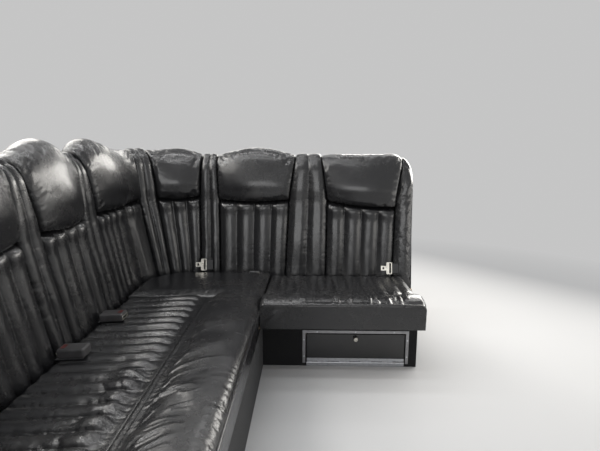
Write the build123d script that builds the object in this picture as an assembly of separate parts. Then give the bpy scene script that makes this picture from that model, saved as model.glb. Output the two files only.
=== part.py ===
"""L-shaped lounge bench from the passenger cabin of a stretched luxury saloon car.

A long side bench runs fore and aft along the left wall, turns a rounded corner and
carries on as a short cross bench along the wall behind the driver.  Plywood risers
carry plywood decks, leather cushions lie on the decks, and a leaning backboard carries
a padded back: sewn channels below, puffed pillows above, narrow bands between them.
A small locker with a drop-down door is built into the riser of the cross bench.

Millimetres, +Z up, +Y forward in the car, +X to the right.  The origin is under the
middle of the bench, on the cabin floor.

Terms used below:
  u    distance into the cabin from the wall that the bench stands against
  run  distance along the back, from the near end of the side bench, round the corner,
       to the right end of the cross bench, measured on the face of the padding
"""

from build123d import *
import os
from math import cos, pi, radians, sin

# Plan of the back
corner_radius = 390.0       # wall line in the corner
face_line = 140.0           # u at which the run is measured
near_end_width = 117.0      # end bolster of the side bench
right_end_width = 87.0      # end bolster of the cross bench
side_pillow_width = 264.0   # at the pillow's lower seam, as are all widths here
side_band_width = 108.0
corner_lead_width = 230.0   # straight part of the pillow that leads into the corner
lead_angle = 29.0           # share of the corner that this pillow turns through
corner_band_angle = 19.0    # share of the band in the corner
left_cross_band_width = 96.0
middle_pillow_width = 343.0
right_cross_band_width = 188.0
right_pillow_width = 333.0

# Heights
deck_top = 222.0
deck_thickness = 18.0
crease_height = 300.0       # cushion top where it meets the back
board_top = 860.0
side_valley = 902.0         # top of the bands and pillow ends, side bench
cross_valley = 872.0        # the same, cross bench
side_seam = 676.0           # bottom seam of the pillows, side bench
corner_seam = 676.0
cross_seam = 660.0
right_seam = (654.0, 624.0)     # bottom seam of the right pillow, from its left to its right end
side_crown = 958.0
lead_crown = (953.0, 945.0, 918.0)  # the pillow that leads into the corner falls towards it
corner_crown = 908.0
middle_crown = 915.0
right_crown = 892.0

# How far the upright seams move along the run between the pillows' lower seam and the top
side_flare = (-10.0, -60.0)     # at the start and at the end of a side band
left_cross_flare = (12.0, -12.0)
right_cross_flare = (32.0, -32.0)
shoulder_flare = 34.0           # the right pillow spreads over the end bolster by this much
# Distance along the run, and how far a seam there moves along the run from the pillows down to the deck
seam_drift = [(0.0, 0.0), (117.0, 0.0), (450.0, 60.0), (1500.0, 70.0), (1800.0, 90.0), (2228.0, 0.0),
              (2340.0, 0.0), (2660.0, -22.0), (2860.0, -6.0), (3187.0, -12.0), (3280.0, 0.0)]

# Padding of the back
lean = 0.10                 # the back leans out by this much for each unit of height
crease_face = 143.0         # u of the padding's face at the crease
foam_thickness = 50.0
board_thickness = 12.0
channel_rise = 12.0
band_rise = 7.0
band_groove = 7.0
band_crest_u = (36.0, 62.0)
band_rear_height = 5.0
band_brow_drop = 34.0
band_groove_width = 6.0
seam_gap = 0.3              # between sewn pieces, and between padding and board
under_pillow_gap = 1.0      # between a pillow's lower seam and the channels under it
board_cut_reach = 90.0      # the cut that clears the boards runs this far past a pillow's lower corners
shoulder_radius = 125.0
shoulder_rise = 10.0        # end bolsters stand this much above the bands
shoulder_inset = 6.0        # the boards stop this far inside the end bolsters

# Pillow section, at its ends and at its middle
pillow_bulge = (17.0, 56.0)     # proud of the face
pillow_crest_u = (55.0, 63.0)
pillow_brow_out = (38.0, 55.0)  # from crest to brow, into the cabin
pillow_brow_drop = (26.0, 34.0)
pillow_rear_height = (8.0, 34.0)
pillow_belly = 0.38             # height of the fullest point as a share of the pillow
pillow_tuck = 4.0               # its lower edge is this far behind the channels' seams
shoulder_share = 0.74           # fullness where the pillow's crown begins
shoulder_place = 0.20           # where it begins, as a share of the width

# Cushions
cushion_gap = 3.0               # between the foot of the back and the cushion
side_seat_seam = 505.0          # u of the seam between channels and front roll
side_seat_front = 738.0
cross_seat_seam = 497.0
cross_seat_front = 660.0
channel_pitch = 57.0
seat_channel_rise = 11.0
seat_seam_height = 309.0
roll_crown_height = 338.0
side_nose_height = 298.0
cross_edge_height = 320.0       # piped front edge of the cross bench
cross_edge_rounding = 7.0
front_rake = 3.0                # a cushion's front falls back by this much
valance_bottom = 200.0
valance_thickness = 12.0
corner_cushion_depth = 372.0
corner_cushion_edge = 312.0
corner_cushion_crown = 12.0
cross_cushion_end_gap = 50.0    # the cross cushion stops short of the back's right end
cross_roll_end_seam = 85.0      # plain end of the cross bench's roll

# Base
board = 18.0                    # riser boards
rear_riser_u = 50.0
deck_rear_u = 8.0
end_deck_reach = 165.0      # u covered by the deck under the back's right end
cross_riser_u = 526.0           # front face of the recessed riser under the cross bench
cross_deck_setback = 46.0       # the cross deck stops this far behind the cushion's front
rib_spacing = 420.0
post_top = 800.0
post_spacing = 450.0
skirt_thickness = 9.0

# Locker under the cross bench
locker_right_margin = 29.0      # from the end riser to the locker's opening
locker_width = 424.0
locker_sill = 14.0
locker_head = 150.0
locker_depth = 345.0
liner = 9.0
trim_width = 12.0
trim_thickness = 3.0
door_gap = 5.0
door_thickness = 12.0
hinge_pin_radius = 1.6
hinge_barrel_radius = 4.0
hinge_bore_clearance = 0.05
hinge_leaf_thickness = 1.5
hinge_leaf_height = 13.0
hinge_knuckles = 9
hinge_knuckle_gap = 0.6
pull_radius = 9.0
pull_reach = 14.0
stop_width = 14.0
stop_height = 20.0
stop_length = 24.0
stop_gap = 0.3                  # between the closed door and its stops

# Floor brackets
bracket_leg = 42.0
bracket_length = 60.0
bracket_thickness = 4.0
bolt_hole_radius = 5.5
bolt_inset = 24.0               # hole centre from the riser's face
bracket_end_inset = 260.0       # from the ends of the side base

# Lap belts
buckle_length = 86.0
buckle_width = 52.0
buckle_thickness = 30.0
buckle_fillet = 7.0
buckle_mouth_height = 8.0
buckle_mouth_depth = 26.0
buckle_side_wall = 8.0
button_length = 14.0
button_recess = 1.5
webbing_width = 47.0
webbing_thickness = 2.4
plate_length = 62.0
plate_width = 58.0
plate_thickness = 3.0
plate_slot_width = 9.0
belt_gap = 0.4                  # between belt parts and what they lie on
buckle_rear = 6.0               # from the crease to the buckle
plate_rear = 38.0               # from the crease to the middle of a tongue's body
turned_buckle_place = 33.0      # y of the buckle that lies turned round on its folded strap
open_buckle_place = 335.0       # y of the buckle whose mouth faces the cabin
flat_plate_place = -57.0        # x of the tongue that lies flat on the corner cushion
leaning_plate_places = (-312.0, 604.0)  # x of the tongues that stand on edge against the back
leaning_strap = 30.0            # webbing that shows beside a leaning tongue

# Worked out from the sizes above
face_radius = corner_radius - face_line
lead_arc = radians(lead_angle) * face_radius
band_arc = radians(corner_band_angle) * face_radius
corner_arc = pi / 2 * face_radius
corner_pillow_width = corner_arc - lead_arc - band_arc

# Cells of the back in order along the run: kind, name, width, channels, seam, valley, crown
cells = [("end", "near_end_bolster", near_end_width, 1, side_seam, side_valley, side_valley)]
for index in range(1, 5):
    cells.append(("seat", f"{index}", side_pillow_width, 4, side_seam, side_valley, side_crown))
    cells.append(("band", f"{index}", side_band_width, 2, side_seam, side_valley, side_valley))
cells += [
    ("seat", "5", corner_lead_width + lead_arc, 5, side_seam, side_valley, lead_crown),
    ("band", "5", band_arc, 2, side_seam, side_valley, side_valley),
    ("seat", "6_corner", corner_pillow_width, 3, corner_seam, side_valley, corner_crown),
    ("band", "6", left_cross_band_width, 2, cross_seam, cross_valley, cross_valley),
    ("seat", "7", middle_pillow_width, 4, cross_seam, cross_valley, middle_crown),
    ("band", "7", right_cross_band_width, 2, cross_seam, cross_valley, cross_valley),
    ("seat", "8", right_pillow_width, 4, right_seam, cross_valley, right_crown),
    ("end", "right_end_bolster", right_end_width, 1, cross_seam, cross_valley, cross_valley),
]
# How far the seam after each cell moves along the run between the pillows' lower seam and their top
flares = [0.0, side_flare[1], *side_flare * 4, 0.0, 0.0, *left_cross_flare, *right_cross_flare,
          shoulder_flare, 0.0]
side_run = near_end_width + 4 * (side_pillow_width + side_band_width) + corner_lead_width
cross_run = (left_cross_band_width + middle_pillow_width + right_cross_band_width
             + right_pillow_width + right_end_width)
length = side_run + corner_radius
width = corner_radius + cross_run
left = -width / 2
near = -length / 2
right = width / 2
front = length / 2
corner_x = left + corner_radius
corner_y = front - corner_radius
corner_start = side_run
corner_end = side_run + corner_arc
deck_bottom = deck_top - deck_thickness
side_front_x = left + side_seat_front
cross_front_y = front - cross_seat_front
cross_seat_end = right - cross_cushion_end_gap
side_channels_end = front - (face_line + cushion_gap) - corner_cushion_depth


def face_u(z):
    """Face of the back's padding, in the seams, at height z."""
    return crease_face - lean * (z - crease_height)


def board_u(z):
    """Front of the backboard at height z."""
    return face_u(z) - foam_thickness


def place(run, u, z=0.0):
    """Point at a distance along the run, u in from the wall."""
    if run <= corner_start:
        return Vector(left + u, near + run, z)
    if run <= corner_end:
        angle = pi - (run - corner_start) / face_radius
        reach = corner_radius - u
        return Vector(corner_x + reach * cos(angle), corner_y + reach * sin(angle), z)
    return Vector(corner_x + run - corner_end, front - u, z)


def inward_at(run):
    return place(run, 1.0) - place(run, 0.0)


def cross_section(run):
    """Upright plane across the run: its x is u and its y is height."""
    inward = inward_at(run)
    return Plane(origin=place(run, 0.0), x_dir=inward, z_dir=inward.cross(Vector(0, 0, 1)))


def drift(run):
    """How far a seam at this distance along the run drifts on its way down to the deck."""
    for (a, at_a), (b, at_b) in zip(seam_drift[:-1], seam_drift[1:]):
        if run <= b:
            return at_a + (at_b - at_a) * (run - a) / (b - a)
    return seam_drift[-1][1]


def seam_line(run, level, top, flare):
    """Upright seam: run and height of its bend, its slopes along the run above and below it, and its top."""
    return run, level, flare / (top - level), -drift(run) / (level - deck_top), top


def seam_at(line, z):
    """Place along the run of an upright seam at height z."""
    run, level, above, below = line[:4]
    return run + (z - level) * (above if z > level else below)


def beside(line, gap):
    """The same seam moved along the run, as the edge of the piece beside it."""
    return line[0] + gap, *line[1:]


def leaning_section(line, outline):
    """Places (u, z) points across the run, leaning along the run as the upper part of a seam does."""
    run, level, slant = line[:3]
    onward = Vector(0, 0, 1).cross(inward_at(run))
    return [place(run, u, z) + onward * slant * (z - level) for u, z in outline]


def blend(pair, share):
    return pair[0] + (pair[1] - pair[0]) * share


def along(outline, start, end):
    """Solid with one outline of (u, z) points carried along the run, straight or round the corner."""
    face = cross_section(start) * make_face(Polyline(*outline, close=True))
    if corner_start - 1e-6 <= start and end <= corner_end + 1e-6:
        turn = (end - start) / face_radius * 180 / pi
        axis = Axis((corner_x, corner_y, 0), (0, 0, -1))
        return revolve(face, axis, turn)
    return extrude(face, amount=end - start, dir=place(end, 0) - place(start, 0))


def parts_of(start, end):
    """The stretch of run split where the back turns from straight to curved and back."""
    stops = [start] + [s for s in (corner_start, corner_end) if start + 1 < s < end - 1] + [end]
    return list(zip(stops[:-1], stops[1:]))


def plan_edges(start, end, u, z):
    """Plan line at a fixed u between two distances along the run, as lines and arcs."""
    edges = []
    for a, b in parts_of(start, end):
        if corner_start - 1e-6 <= a and b <= corner_end + 1e-6:
            edges.append(ThreePointArc(place(a, u, z), place((a + b) / 2, u, z), place(b, u, z)))
        else:
            edges.append(Line(place(a, u, z), place(b, u, z)))
    return edges


def channel_outline(start, end, count, level, face_rise=0.0):
    """Plan outline of a channelled panel, its face in scallops; level is its height at start and at end."""
    def at(run, u_of, rise=0.0):
        z = blend(level, (run - start) / (end - start))
        return place(run, u_of(z) + rise, z)

    def back_u(z):
        return board_u(z) + seam_gap

    pitch = (end - start) / count
    edges = [Line(at(start, back_u), at(start, face_u, face_rise))]
    for index in range(count):
        a = start + index * pitch
        b = a + pitch
        edges.append(ThreePointArc(at(a, face_u, face_rise), at((a + b) / 2, face_u, face_rise + channel_rise),
                                   at(b, face_u, face_rise)))
    edges.append(Line(at(end, face_u, face_rise), at(end, back_u)))
    if level[0] == level[1]:
        edges += plan_edges(start, end, back_u(level[0]), level[0])
    else:
        edges.append(Line(at(start, back_u), at(end, back_u)))
    return make_face(edges)


def channel_panel(start, end, count, seam):
    """Sewn channels from the deck up to a pillow; seam is the pillow's lower edge at start and at end."""
    low_level = deck_top + seam_gap
    low = channel_outline(seam_at(start, low_level), seam_at(end, low_level), count, (low_level, low_level))
    high = channel_outline(seam_at(start, min(seam[0], start[1])), seam_at(end, min(seam[1], end[1])), count,
                           (seam[0] - under_pillow_gap, seam[1] - under_pillow_gap))
    return loft([low, high], ruled=True)


def pillow_section(line, share, seam, top):
    """Section of a pillow along a leaning line: share 0 is the pulled-in end, 1 the full middle."""
    belly_z = seam + (top - seam) * pillow_belly
    crest = (blend(pillow_crest_u, share), top)
    outline = [
        (0.0, seam),
        (face_u(seam) - pillow_tuck, seam),
        (face_u(belly_z) + blend(pillow_bulge, share), belly_z),
        (crest[0] + blend(pillow_brow_out, share), top - blend(pillow_brow_drop, share)),
        crest,
        (0.0, board_top + blend(pillow_rear_height, share)),
    ]
    rear, foot, belly, brow, crest, high_rear = leaning_section(line, outline)
    return make_face([
        Line(rear, foot),
        ThreePointArc(foot, belly, brow),
        ThreePointArc(brow, crest, high_rear),
        Line(high_rear, rear),
    ])


def behind_board(start, end):
    """All that lies behind the face of the backboard and under its top."""
    low = deck_top - 50.0
    top = board_top + seam_gap
    outline = [(-200.0, low), (board_u(low) + seam_gap, low), (board_u(top) + seam_gap, top), (-200.0, top)]
    return [along(outline, a, b) for a, b in parts_of(start, end)]


def pillow(start, end, seam, crown):
    """Puffed pillow between two upright seams; crown is its height in the middle, or at three places."""
    # place across the pillow, fullness
    table = [(0.0, 0.0), (shoulder_place, shoulder_share), (0.5, 1.0), (1 - shoulder_place, shoulder_share),
             (1.0, 0.0)]
    sections = []
    for index, (t, share) in enumerate(table):
        line = [blend(pair, t) for pair in zip(start, end)]
        top = blend((line[4], crown), share) if isinstance(crown, float) else (start[4], *crown, end[4])[index]
        sections.append(pillow_section(line, share, blend(seam, t), top))
    body = loft(sections)
    for block in behind_board(start[0] - board_cut_reach, end[0] + board_cut_reach):
        body -= block
    return body


def band_outline(seam, valley, sunk=0.0):
    """(u, z) outline of the upper part of a band, from the pillows' seam up and over the board's top."""
    seat = board_top + seam_gap
    proud = band_rise - sunk
    top = valley - sunk
    return [
        (board_u(seam) + seam_gap, seam),
        (face_u(seam) + proud, seam),
        (face_u(top - band_brow_drop) + proud, top - band_brow_drop),
        (face_u(top - 14.0) + proud - 10.0, top - 14.0),
        (band_crest_u[1], top - 2.0),
        (band_crest_u[0], top),
        (0.0, seat + band_rear_height),
        (0.0, seat),
        (board_u(board_top) + seam_gap, seat),
    ]


def band_strip(start, end, outline):
    """Strip of a band's upper part between two upright seams."""
    if start[2] == 0.0 and end[2] == 0.0:
        return along(outline, start[0], end[0])
    sections = [make_face(Polyline(*leaning_section(line, outline), close=True)) for line in (start, end)]
    return loft(sections, ruled=True)


def band_foot(start, end, seam, sunk=0.0):
    """Strip of a band's lower part, from the deck up to the level of the pillows' seam."""
    faces = []
    for z in (deck_top + seam_gap, seam):
        a, b = seam_at(start, z), seam_at(end, z)
        back = board_u(z) + seam_gap
        face = face_u(z) + band_rise - sunk
        edges = [Line(place(a, back, z), place(a, face, z)), Line(place(b, face, z), place(b, back, z))]
        edges += plan_edges(a, b, face, z) + plan_edges(a, b, back, z)
        faces.append(make_face(edges))
    return loft(faces, ruled=True)


def band(start, end, seam, valley, grooved=True):
    """Band between two upright seams, with a sewn groove down its middle."""
    if not grooved:
        return band_foot(start, end, seam) + band_strip(start, end, band_outline(seam, valley))
    middle = [blend(pair, 0.5) for pair in zip(start, end)]
    low_groove = beside(middle, -band_groove_width / 2)
    high_groove = beside(low_groove, band_groove_width)
    body = None
    for a, b, sunk in ((start, low_groove, 0.0), (low_groove, high_groove, band_groove), (high_groove, end, 0.0)):
        strip = band_foot(a, b, seam, sunk) + band_strip(a, b, band_outline(seam, valley, sunk))
        body = strip if body is None else body + strip
    return body


def shoulder_block(outer, inner, top, reach):
    """Upright block with a rounded outer shoulder, to trim what stands at an end of the back."""
    out = (place(outer, 0) - place(inner, 0)).normalized()
    inward = place(outer, 1.0) - place(outer, 0.0)
    behind = place(outer, -50.0)
    up = Vector(0, 0, 1)
    low = behind + up * (deck_top - 10)
    middle = behind - out * shoulder_radius * (1 - cos(pi / 4)) + up * (top - shoulder_radius * (1 - sin(pi / 4)))
    high = behind + up * (top - shoulder_radius)
    peak = behind - out * shoulder_radius + up * top
    far = behind - out * reach
    outline = [
        Line(low, high),
        ThreePointArc(high, middle, peak),
        Line(peak, far + up * top),
        Line(far + up * top, far + up * (deck_top - 10)),
        Line(far + up * (deck_top - 10), low),
    ]
    return extrude(make_face(outline), amount=400.0, dir=inward)


def end_bolster(start, end, seam, valley, outer, inner):
    """Upholstered end of the back, with a rounded outer shoulder."""
    top = valley + shoulder_rise
    body = band(start, end, seam, top, grooved=False)
    return body & shoulder_block(outer, inner, top, shoulder_radius + 40.0)


def seat_channels(x_rear, x_front, y_low, y_high, count):
    """Side cushion: channels run from the back to the front-roll seam."""
    def outline(x, base):
        pitch = (y_high - y_low) / count
        edges = [Line((x, y_low, deck_top + seam_gap), (x, y_low, base))]
        for index in range(count):
            a = y_low + index * pitch
            edges.append(ThreePointArc((x, a, base), (x, a + pitch / 2, base + seat_channel_rise),
                                       (x, a + pitch, base)))
        edges.append(Line((x, y_high, base), (x, y_high, deck_top + seam_gap)))
        edges.append(Line((x, y_high, deck_top + seam_gap), (x, y_low, deck_top + seam_gap)))
        return make_face(edges)
    return loft([outline(x_rear, crease_height - seat_channel_rise), outline(x_front, seat_seam_height)],
                ruled=True)


def cross_channels(y_front, y_rear, x_low, x_high, count):
    """Cross cushion, its channels running from the back to the front-roll seam."""
    def outline(y, base):
        pitch = (x_high - x_low) / count
        edges = [Line((x_low, y, deck_top + seam_gap), (x_low, y, base))]
        for index in range(count):
            a = x_low + index * pitch
            edges.append(ThreePointArc((a, y, base), (a + pitch / 2, y, base + seat_channel_rise),
                                       (a + pitch, y, base)))
        edges.append(Line((x_high, y, base), (x_high, y, deck_top + seam_gap)))
        edges.append(Line((x_high, y, deck_top + seam_gap), (x_low, y, deck_top + seam_gap)))
        return make_face(edges)
    return loft([outline(y_rear, crease_height - seat_channel_rise), outline(y_front, seat_seam_height)],
                ruled=True)


def side_roll_outline():
    """(u, z) outline of the side bench's front roll, its valance hanging over the riser's edge."""
    low = deck_top + seam_gap
    seam_u = side_seat_seam + seam_gap
    front_u = side_seat_front
    inner = front_u - valance_thickness
    crown = (front_u - 62.0, roll_crown_height - 2.0)
    return [
        Line((seam_u, low), (seam_u, seat_seam_height)),
        ThreePointArc((seam_u, seat_seam_height),
                      (seam_u + (front_u - seam_u) * 0.38, roll_crown_height - 4.0), crown),
        ThreePointArc(crown, (front_u - 14.0, roll_crown_height - 17.0), (front_u, side_nose_height)),
        Line((front_u, side_nose_height), (front_u - front_rake, valance_bottom)),
        Line((front_u - front_rake, valance_bottom), (inner, valance_bottom)),
        Line((inner, valance_bottom), (inner, low)),
        Line((inner, low), (seam_u, low)),
    ]


def cross_roll_outline():
    """(u, z) outline of the cross bench's front roll: a low crown, a tight edge and a flat front."""
    low = deck_top + seam_gap
    seam_u = cross_seat_seam + seam_gap
    front_u = cross_seat_front
    edge_start = (front_u - cross_edge_rounding, cross_edge_height + cross_edge_rounding)
    corner = cross_edge_rounding * (1 - cos(pi / 4))
    return [
        Line((seam_u, low), (seam_u, seat_seam_height)),
        ThreePointArc((seam_u, seat_seam_height), ((seam_u + front_u) / 2, roll_crown_height), edge_start),
        ThreePointArc(edge_start, (front_u - corner, cross_edge_height + cross_edge_rounding - corner),
                      (front_u, cross_edge_height)),
        Line((front_u, cross_edge_height), (front_u - front_rake, low)),
        Line((front_u - front_rake, low), (seam_u, low)),
    ]


def front_rolls():
    side = Plane(origin=(left, near, 0), x_dir=(1, 0, 0), z_dir=(0, -1, 0)) * make_face(side_roll_outline())
    side_roll = extrude(side, amount=side_channels_end - near, dir=(0, 1, 0))
    side_roll -= box_between(side_front_x - valance_thickness - 1, side_front_x + 1, cross_front_y,
                             side_channels_end + 1, valance_bottom - 1, deck_top + seam_gap)
    cross_left = side_front_x + seam_gap
    cross = Plane(origin=(cross_left, front, 0), x_dir=(0, -1, 0), z_dir=(-1, 0, 0)) * make_face(
        cross_roll_outline())
    cross_roll = extrude(cross, amount=cross_seat_end - cross_left, dir=(1, 0, 0))
    groove_x = cross_seat_end - cross_roll_end_seam
    groove_y = cross_front_y + (cross_seat_front - cross_seat_seam) / 2
    groove = Pos(groove_x, groove_y, roll_crown_height + 6.0) * Box(
        4.0, 2 * (cross_seat_front - cross_seat_seam), 20.0)
    return side_roll, cross_roll - groove


def corner_cushion():
    """Plain cushion in the corner, with a crowned top and a rounded rear corner."""
    foot = face_u(deck_top) + channel_rise + cushion_gap
    low_x, high_x = left + foot, side_front_x
    low_y, high_y = side_channels_end + seam_gap, front - foot
    radius = corner_radius - foot
    height = corner_cushion_edge - deck_top
    body = Pos((low_x + high_x) / 2, (low_y + high_y) / 2, deck_top + seam_gap + height / 2) * Box(
        high_x - low_x, high_y - low_y, height)
    rear_edge = body.edges().filter_by(Axis.Z).group_by(Axis.X)[0].sort_by(Axis.Y)[-1]
    body = fillet(rear_edge, radius)
    top = body.faces().sort_by(Axis.Z)[-1]
    return fillet(top.edges(), corner_cushion_crown)


def box_between(x0, x1, y0, y1, z0, z1):
    return Pos((x0 + x1) / 2, (y0 + y1) / 2, (z0 + z1) / 2) * Box(x1 - x0, y1 - y0, z1 - z0)


def backboards():
    """Leaning plywood boards behind the padding: side, corner and cross."""
    outline = [
        (board_u(deck_top) - board_thickness, deck_top),
        (board_u(deck_top), deck_top),
        (board_u(board_top), board_top),
        (board_u(board_top) - board_thickness, board_top),
    ]
    far_end = corner_end + cross_run
    side = along(outline, 0.0, corner_start) & shoulder_block(
        shoulder_inset, corner_start, side_valley, 2 * side_run)
    cross = along(outline, corner_end, far_end) & shoulder_block(
        far_end - shoulder_inset, corner_end, cross_valley, 2 * cross_run)
    return side, along(outline, corner_start, corner_end), cross


def back_posts():
    """Tapered battens that stand on the deck and hold the boards out from the wall."""
    rear = board_thickness + seam_gap
    outline = [
        (deck_rear_u, deck_top),
        (board_u(deck_top) - rear, deck_top),
        (board_u(post_top) - rear, post_top),
        (deck_rear_u, post_top),
    ]
    battens = []
    for low, high in ((board, corner_start - board), (corner_end + board, corner_end + cross_run - board)):
        count = max(2, round((high - low) / post_spacing) + 1)
        for k in range(count):
            middle = low + (high - low) * k / (count - 1)
            battens.append(along(outline, middle - board / 2, middle + board / 2))
    return Compound(children=battens)


def decks():
    side_edge = left + side_seat_front - valance_thickness - seam_gap
    rear = deck_rear_u
    side = box_between(left + rear, side_edge, near, front - rear, deck_bottom, deck_top)
    rear_edge = side.edges().filter_by(Axis.Z).group_by(Axis.X)[0].sort_by(Axis.Y)[-1]
    side = fillet(rear_edge, corner_radius - rear)
    cross_front = cross_front_y + cross_deck_setback
    cross = box_between(side_edge, cross_seat_end, cross_front, front - rear, deck_bottom, deck_top)
    cross += box_between(side_edge, right, front - end_deck_reach, front - rear, deck_bottom, deck_top)
    return side, cross


def side_skirt():
    """Covered panel that closes the front of the side base down to the floor."""
    back = side_front_x - valance_thickness - seam_gap
    return box_between(back, back + skirt_thickness, near, front - cross_riser_u, 0, valance_bottom - 1.0)


def base_boards():
    """Risers and ribs that stand on the floor, and the locker's opening in the cross riser."""
    side_face = left + side_seat_front - valance_thickness - seam_gap
    rear_x = left + rear_riser_u
    cross_face = front - cross_riser_u
    end_x = cross_seat_end
    boards = {}
    boards["side_front_riser"] = box_between(side_face - board, side_face, near + board, cross_face + board,
                                             0, deck_bottom)
    boards["side_rear_riser"] = box_between(rear_x, rear_x + board, near + board, corner_y, 0, deck_bottom)
    boards["side_end_riser"] = box_between(rear_x, side_face, near, near + board, 0, deck_bottom)
    rib_count = int((cross_face - near) // rib_spacing)
    rib_pitch = (cross_face - near) / (rib_count + 1)
    ribs = [box_between(rear_x + board, side_face - board, near + rib_pitch * k - board / 2,
                        near + rib_pitch * k + board / 2, 0, deck_bottom) for k in range(1, rib_count + 1)]
    boards["side_ribs"] = Compound(children=ribs)
    rear_y = front - rear_riser_u
    chord = Polyline((rear_x, corner_y + 1, 0), (corner_x, rear_y - 1, 0),
                     (corner_x, rear_y - 1 - board * 1.414, 0), (rear_x + board * 1.414, corner_y + 1, 0),
                     close=True)
    boards["corner_riser"] = extrude(make_face(chord), amount=deck_bottom, dir=(0, 0, 1))
    boards["cross_rear_riser"] = box_between(corner_x + 1, end_x - board, rear_y - board, rear_y, 0, deck_bottom)
    boards["cross_end_riser"] = box_between(end_x - board, end_x, cross_face, rear_y, 0, deck_bottom)
    riser = box_between(side_face, end_x - board, cross_face, cross_face + board, 0, deck_bottom)
    opening = box_between(*locker_span(), cross_face - 10, cross_face + board + 10, locker_sill, locker_head)
    boards["cross_front_riser"] = riser - opening
    return boards


def locker_span():
    """Low and high x of the locker's opening."""
    high = cross_seat_end - board - locker_right_margin
    return high - locker_width, high


def locker_liner():
    """Thin box behind the opening: floor, two sides and back, with a stop in each top corner."""
    x0, x1 = locker_span()
    y0 = front - cross_riser_u + board
    y1 = y0 + locker_depth
    outer = box_between(x0 - liner, x1 + liner, y0, y1 + liner, locker_sill - liner, deck_bottom)
    inner = box_between(x0, x1, y0 - 10, y1, locker_sill, deck_bottom + 10)
    stop_face = front - cross_riser_u + door_thickness + stop_gap
    low = locker_head - stop_height
    left_stop = box_between(x0, x0 + stop_width, stop_face, stop_face + stop_length, low, locker_head)
    right_stop = box_between(x1 - stop_width, x1, stop_face, stop_face + stop_length, low, locker_head)
    return outer - inner + left_stop + right_stop


def locker_trim():
    """Bright angle strip round the top and sides of the opening."""
    x0, x1 = locker_span()
    y = front - cross_riser_u
    outer = box_between(x0 - trim_width, x1 + trim_width, y - trim_thickness, y, locker_sill, locker_head + trim_width)
    inner = box_between(x0, x1, y - 10, y + 10, locker_sill - 10, locker_head)
    return outer - inner


hinge_y = front - cross_riser_u - hinge_barrel_radius
hinge_z = locker_sill + hinge_barrel_radius


def knuckle(index):
    """One barrel of the piano hinge, bored for the pin."""
    x0, x1 = locker_span()
    pitch = (x1 - x0 - 2 * door_gap) / hinge_knuckles
    middle = x0 + door_gap + pitch * (index + 0.5)
    barrel = Cylinder(hinge_barrel_radius, pitch - hinge_knuckle_gap, rotation=(0, 90, 0))
    if index % 2:
        barrel -= Cylinder(hinge_pin_radius + hinge_bore_clearance, pitch, rotation=(0, 90, 0))
    return Pos(middle, hinge_y, hinge_z) * barrel


def locker_hinge_fixed():
    """Fixed half of the piano hinge: a strip on the sill, every other barrel, and the pin."""
    x0, x1 = locker_span()
    face = front - cross_riser_u
    strip = box_between(x0 + door_gap, x1 - door_gap, face - hinge_leaf_thickness, face, 1.0, locker_sill - 1.0)
    body = strip
    pitch = (x1 - x0 - 2 * door_gap) / hinge_knuckles
    for index in range(0, hinge_knuckles, 2):
        low = x0 + door_gap + pitch * index + hinge_knuckle_gap / 2
        high = low + pitch - hinge_knuckle_gap
        web = box_between(low, high, face - hinge_leaf_thickness, face, locker_sill - 2.0, hinge_z)
        body += web + knuckle(index)
    pin = Cylinder(hinge_pin_radius, x1 - x0 - 2 * door_gap - 4, rotation=(0, 90, 0))
    return body + Pos((x0 + x1) / 2, hinge_y, hinge_z) * pin


def locker_door():
    """Drop-down door with the moving half of the hinge let into its foot."""
    x0, x1 = locker_span()
    face = front - cross_riser_u
    low, high = hinge_z + hinge_barrel_radius + 1.0, locker_head - door_gap
    panel = box_between(x0 + door_gap, x1 - door_gap, face, face + door_thickness, low, high)
    panel = chamfer(panel.faces().sort_by(Axis.Y)[0].edges(), 1.0)
    leaf = box_between(x0 + door_gap + 1, x1 - door_gap - 1, face - hinge_leaf_thickness, face,
                       low, low + hinge_leaf_height)
    pitch = (x1 - x0 - 2 * door_gap) / hinge_knuckles
    for index in range(1, hinge_knuckles, 2):
        a = x0 + door_gap + pitch * index + hinge_knuckle_gap / 2
        web = box_between(a, a + pitch - hinge_knuckle_gap, face - hinge_leaf_thickness, face, hinge_z, low + 1)
        leaf += web + knuckle(index)
    return panel, leaf


def locker_pull():
    """Turned knob near the door's top edge."""
    x0, x1 = locker_span()
    face = front - cross_riser_u
    stem = Cylinder(pull_radius * 0.5, pull_reach, rotation=(90, 0, 0))
    head = fillet(Cylinder(pull_radius, 5.0, rotation=(90, 0, 0)).edges(), 1.5)
    knob = Pos(0, -pull_reach / 2, 0) * stem + Pos(0, -pull_reach, 0) * head
    return Pos((x0 + x1) / 2, face, locker_head - door_gap - 18.0) * knob


def bracket():
    """Steel angle at the origin: the upright leg lies on the plane x = 0, the foot reaches to +x."""
    foot = box_between(0, bracket_leg, -bracket_length / 2, bracket_length / 2, 0, bracket_thickness)
    leg = box_between(0, bracket_thickness, -bracket_length / 2, bracket_length / 2, 0, bracket_leg)
    hole = Pos(bolt_inset, 0, 0) * Cylinder(bolt_hole_radius, 30.0)
    return foot + leg - hole


def floor_brackets():
    """Four angles inside the side base and two inside the cross base, bolted to the floor."""
    side_face = left + side_seat_front - valance_thickness - seam_gap
    front_x = side_face - board
    rear_x = left + rear_riser_u + board
    y_near = near + bracket_end_inset
    y_far = front - cross_riser_u - bracket_end_inset
    angles = []
    for y in (y_near, y_far):
        angles.append(Pos(rear_x, y, 0) * bracket())
        angles.append(Pos(front_x, y, 0) * Rot(0, 0, 180) * bracket())
    rear_y = front - rear_riser_u - board
    for x in cross_bracket_places():
        angles.append(Pos(x, rear_y, 0) * Rot(0, 0, -90) * bracket())
    return Compound(children=angles)


def cross_bracket_places():
    x0, x1 = locker_span()
    return x0 - liner - 90.0, x1 - 60.0


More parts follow.
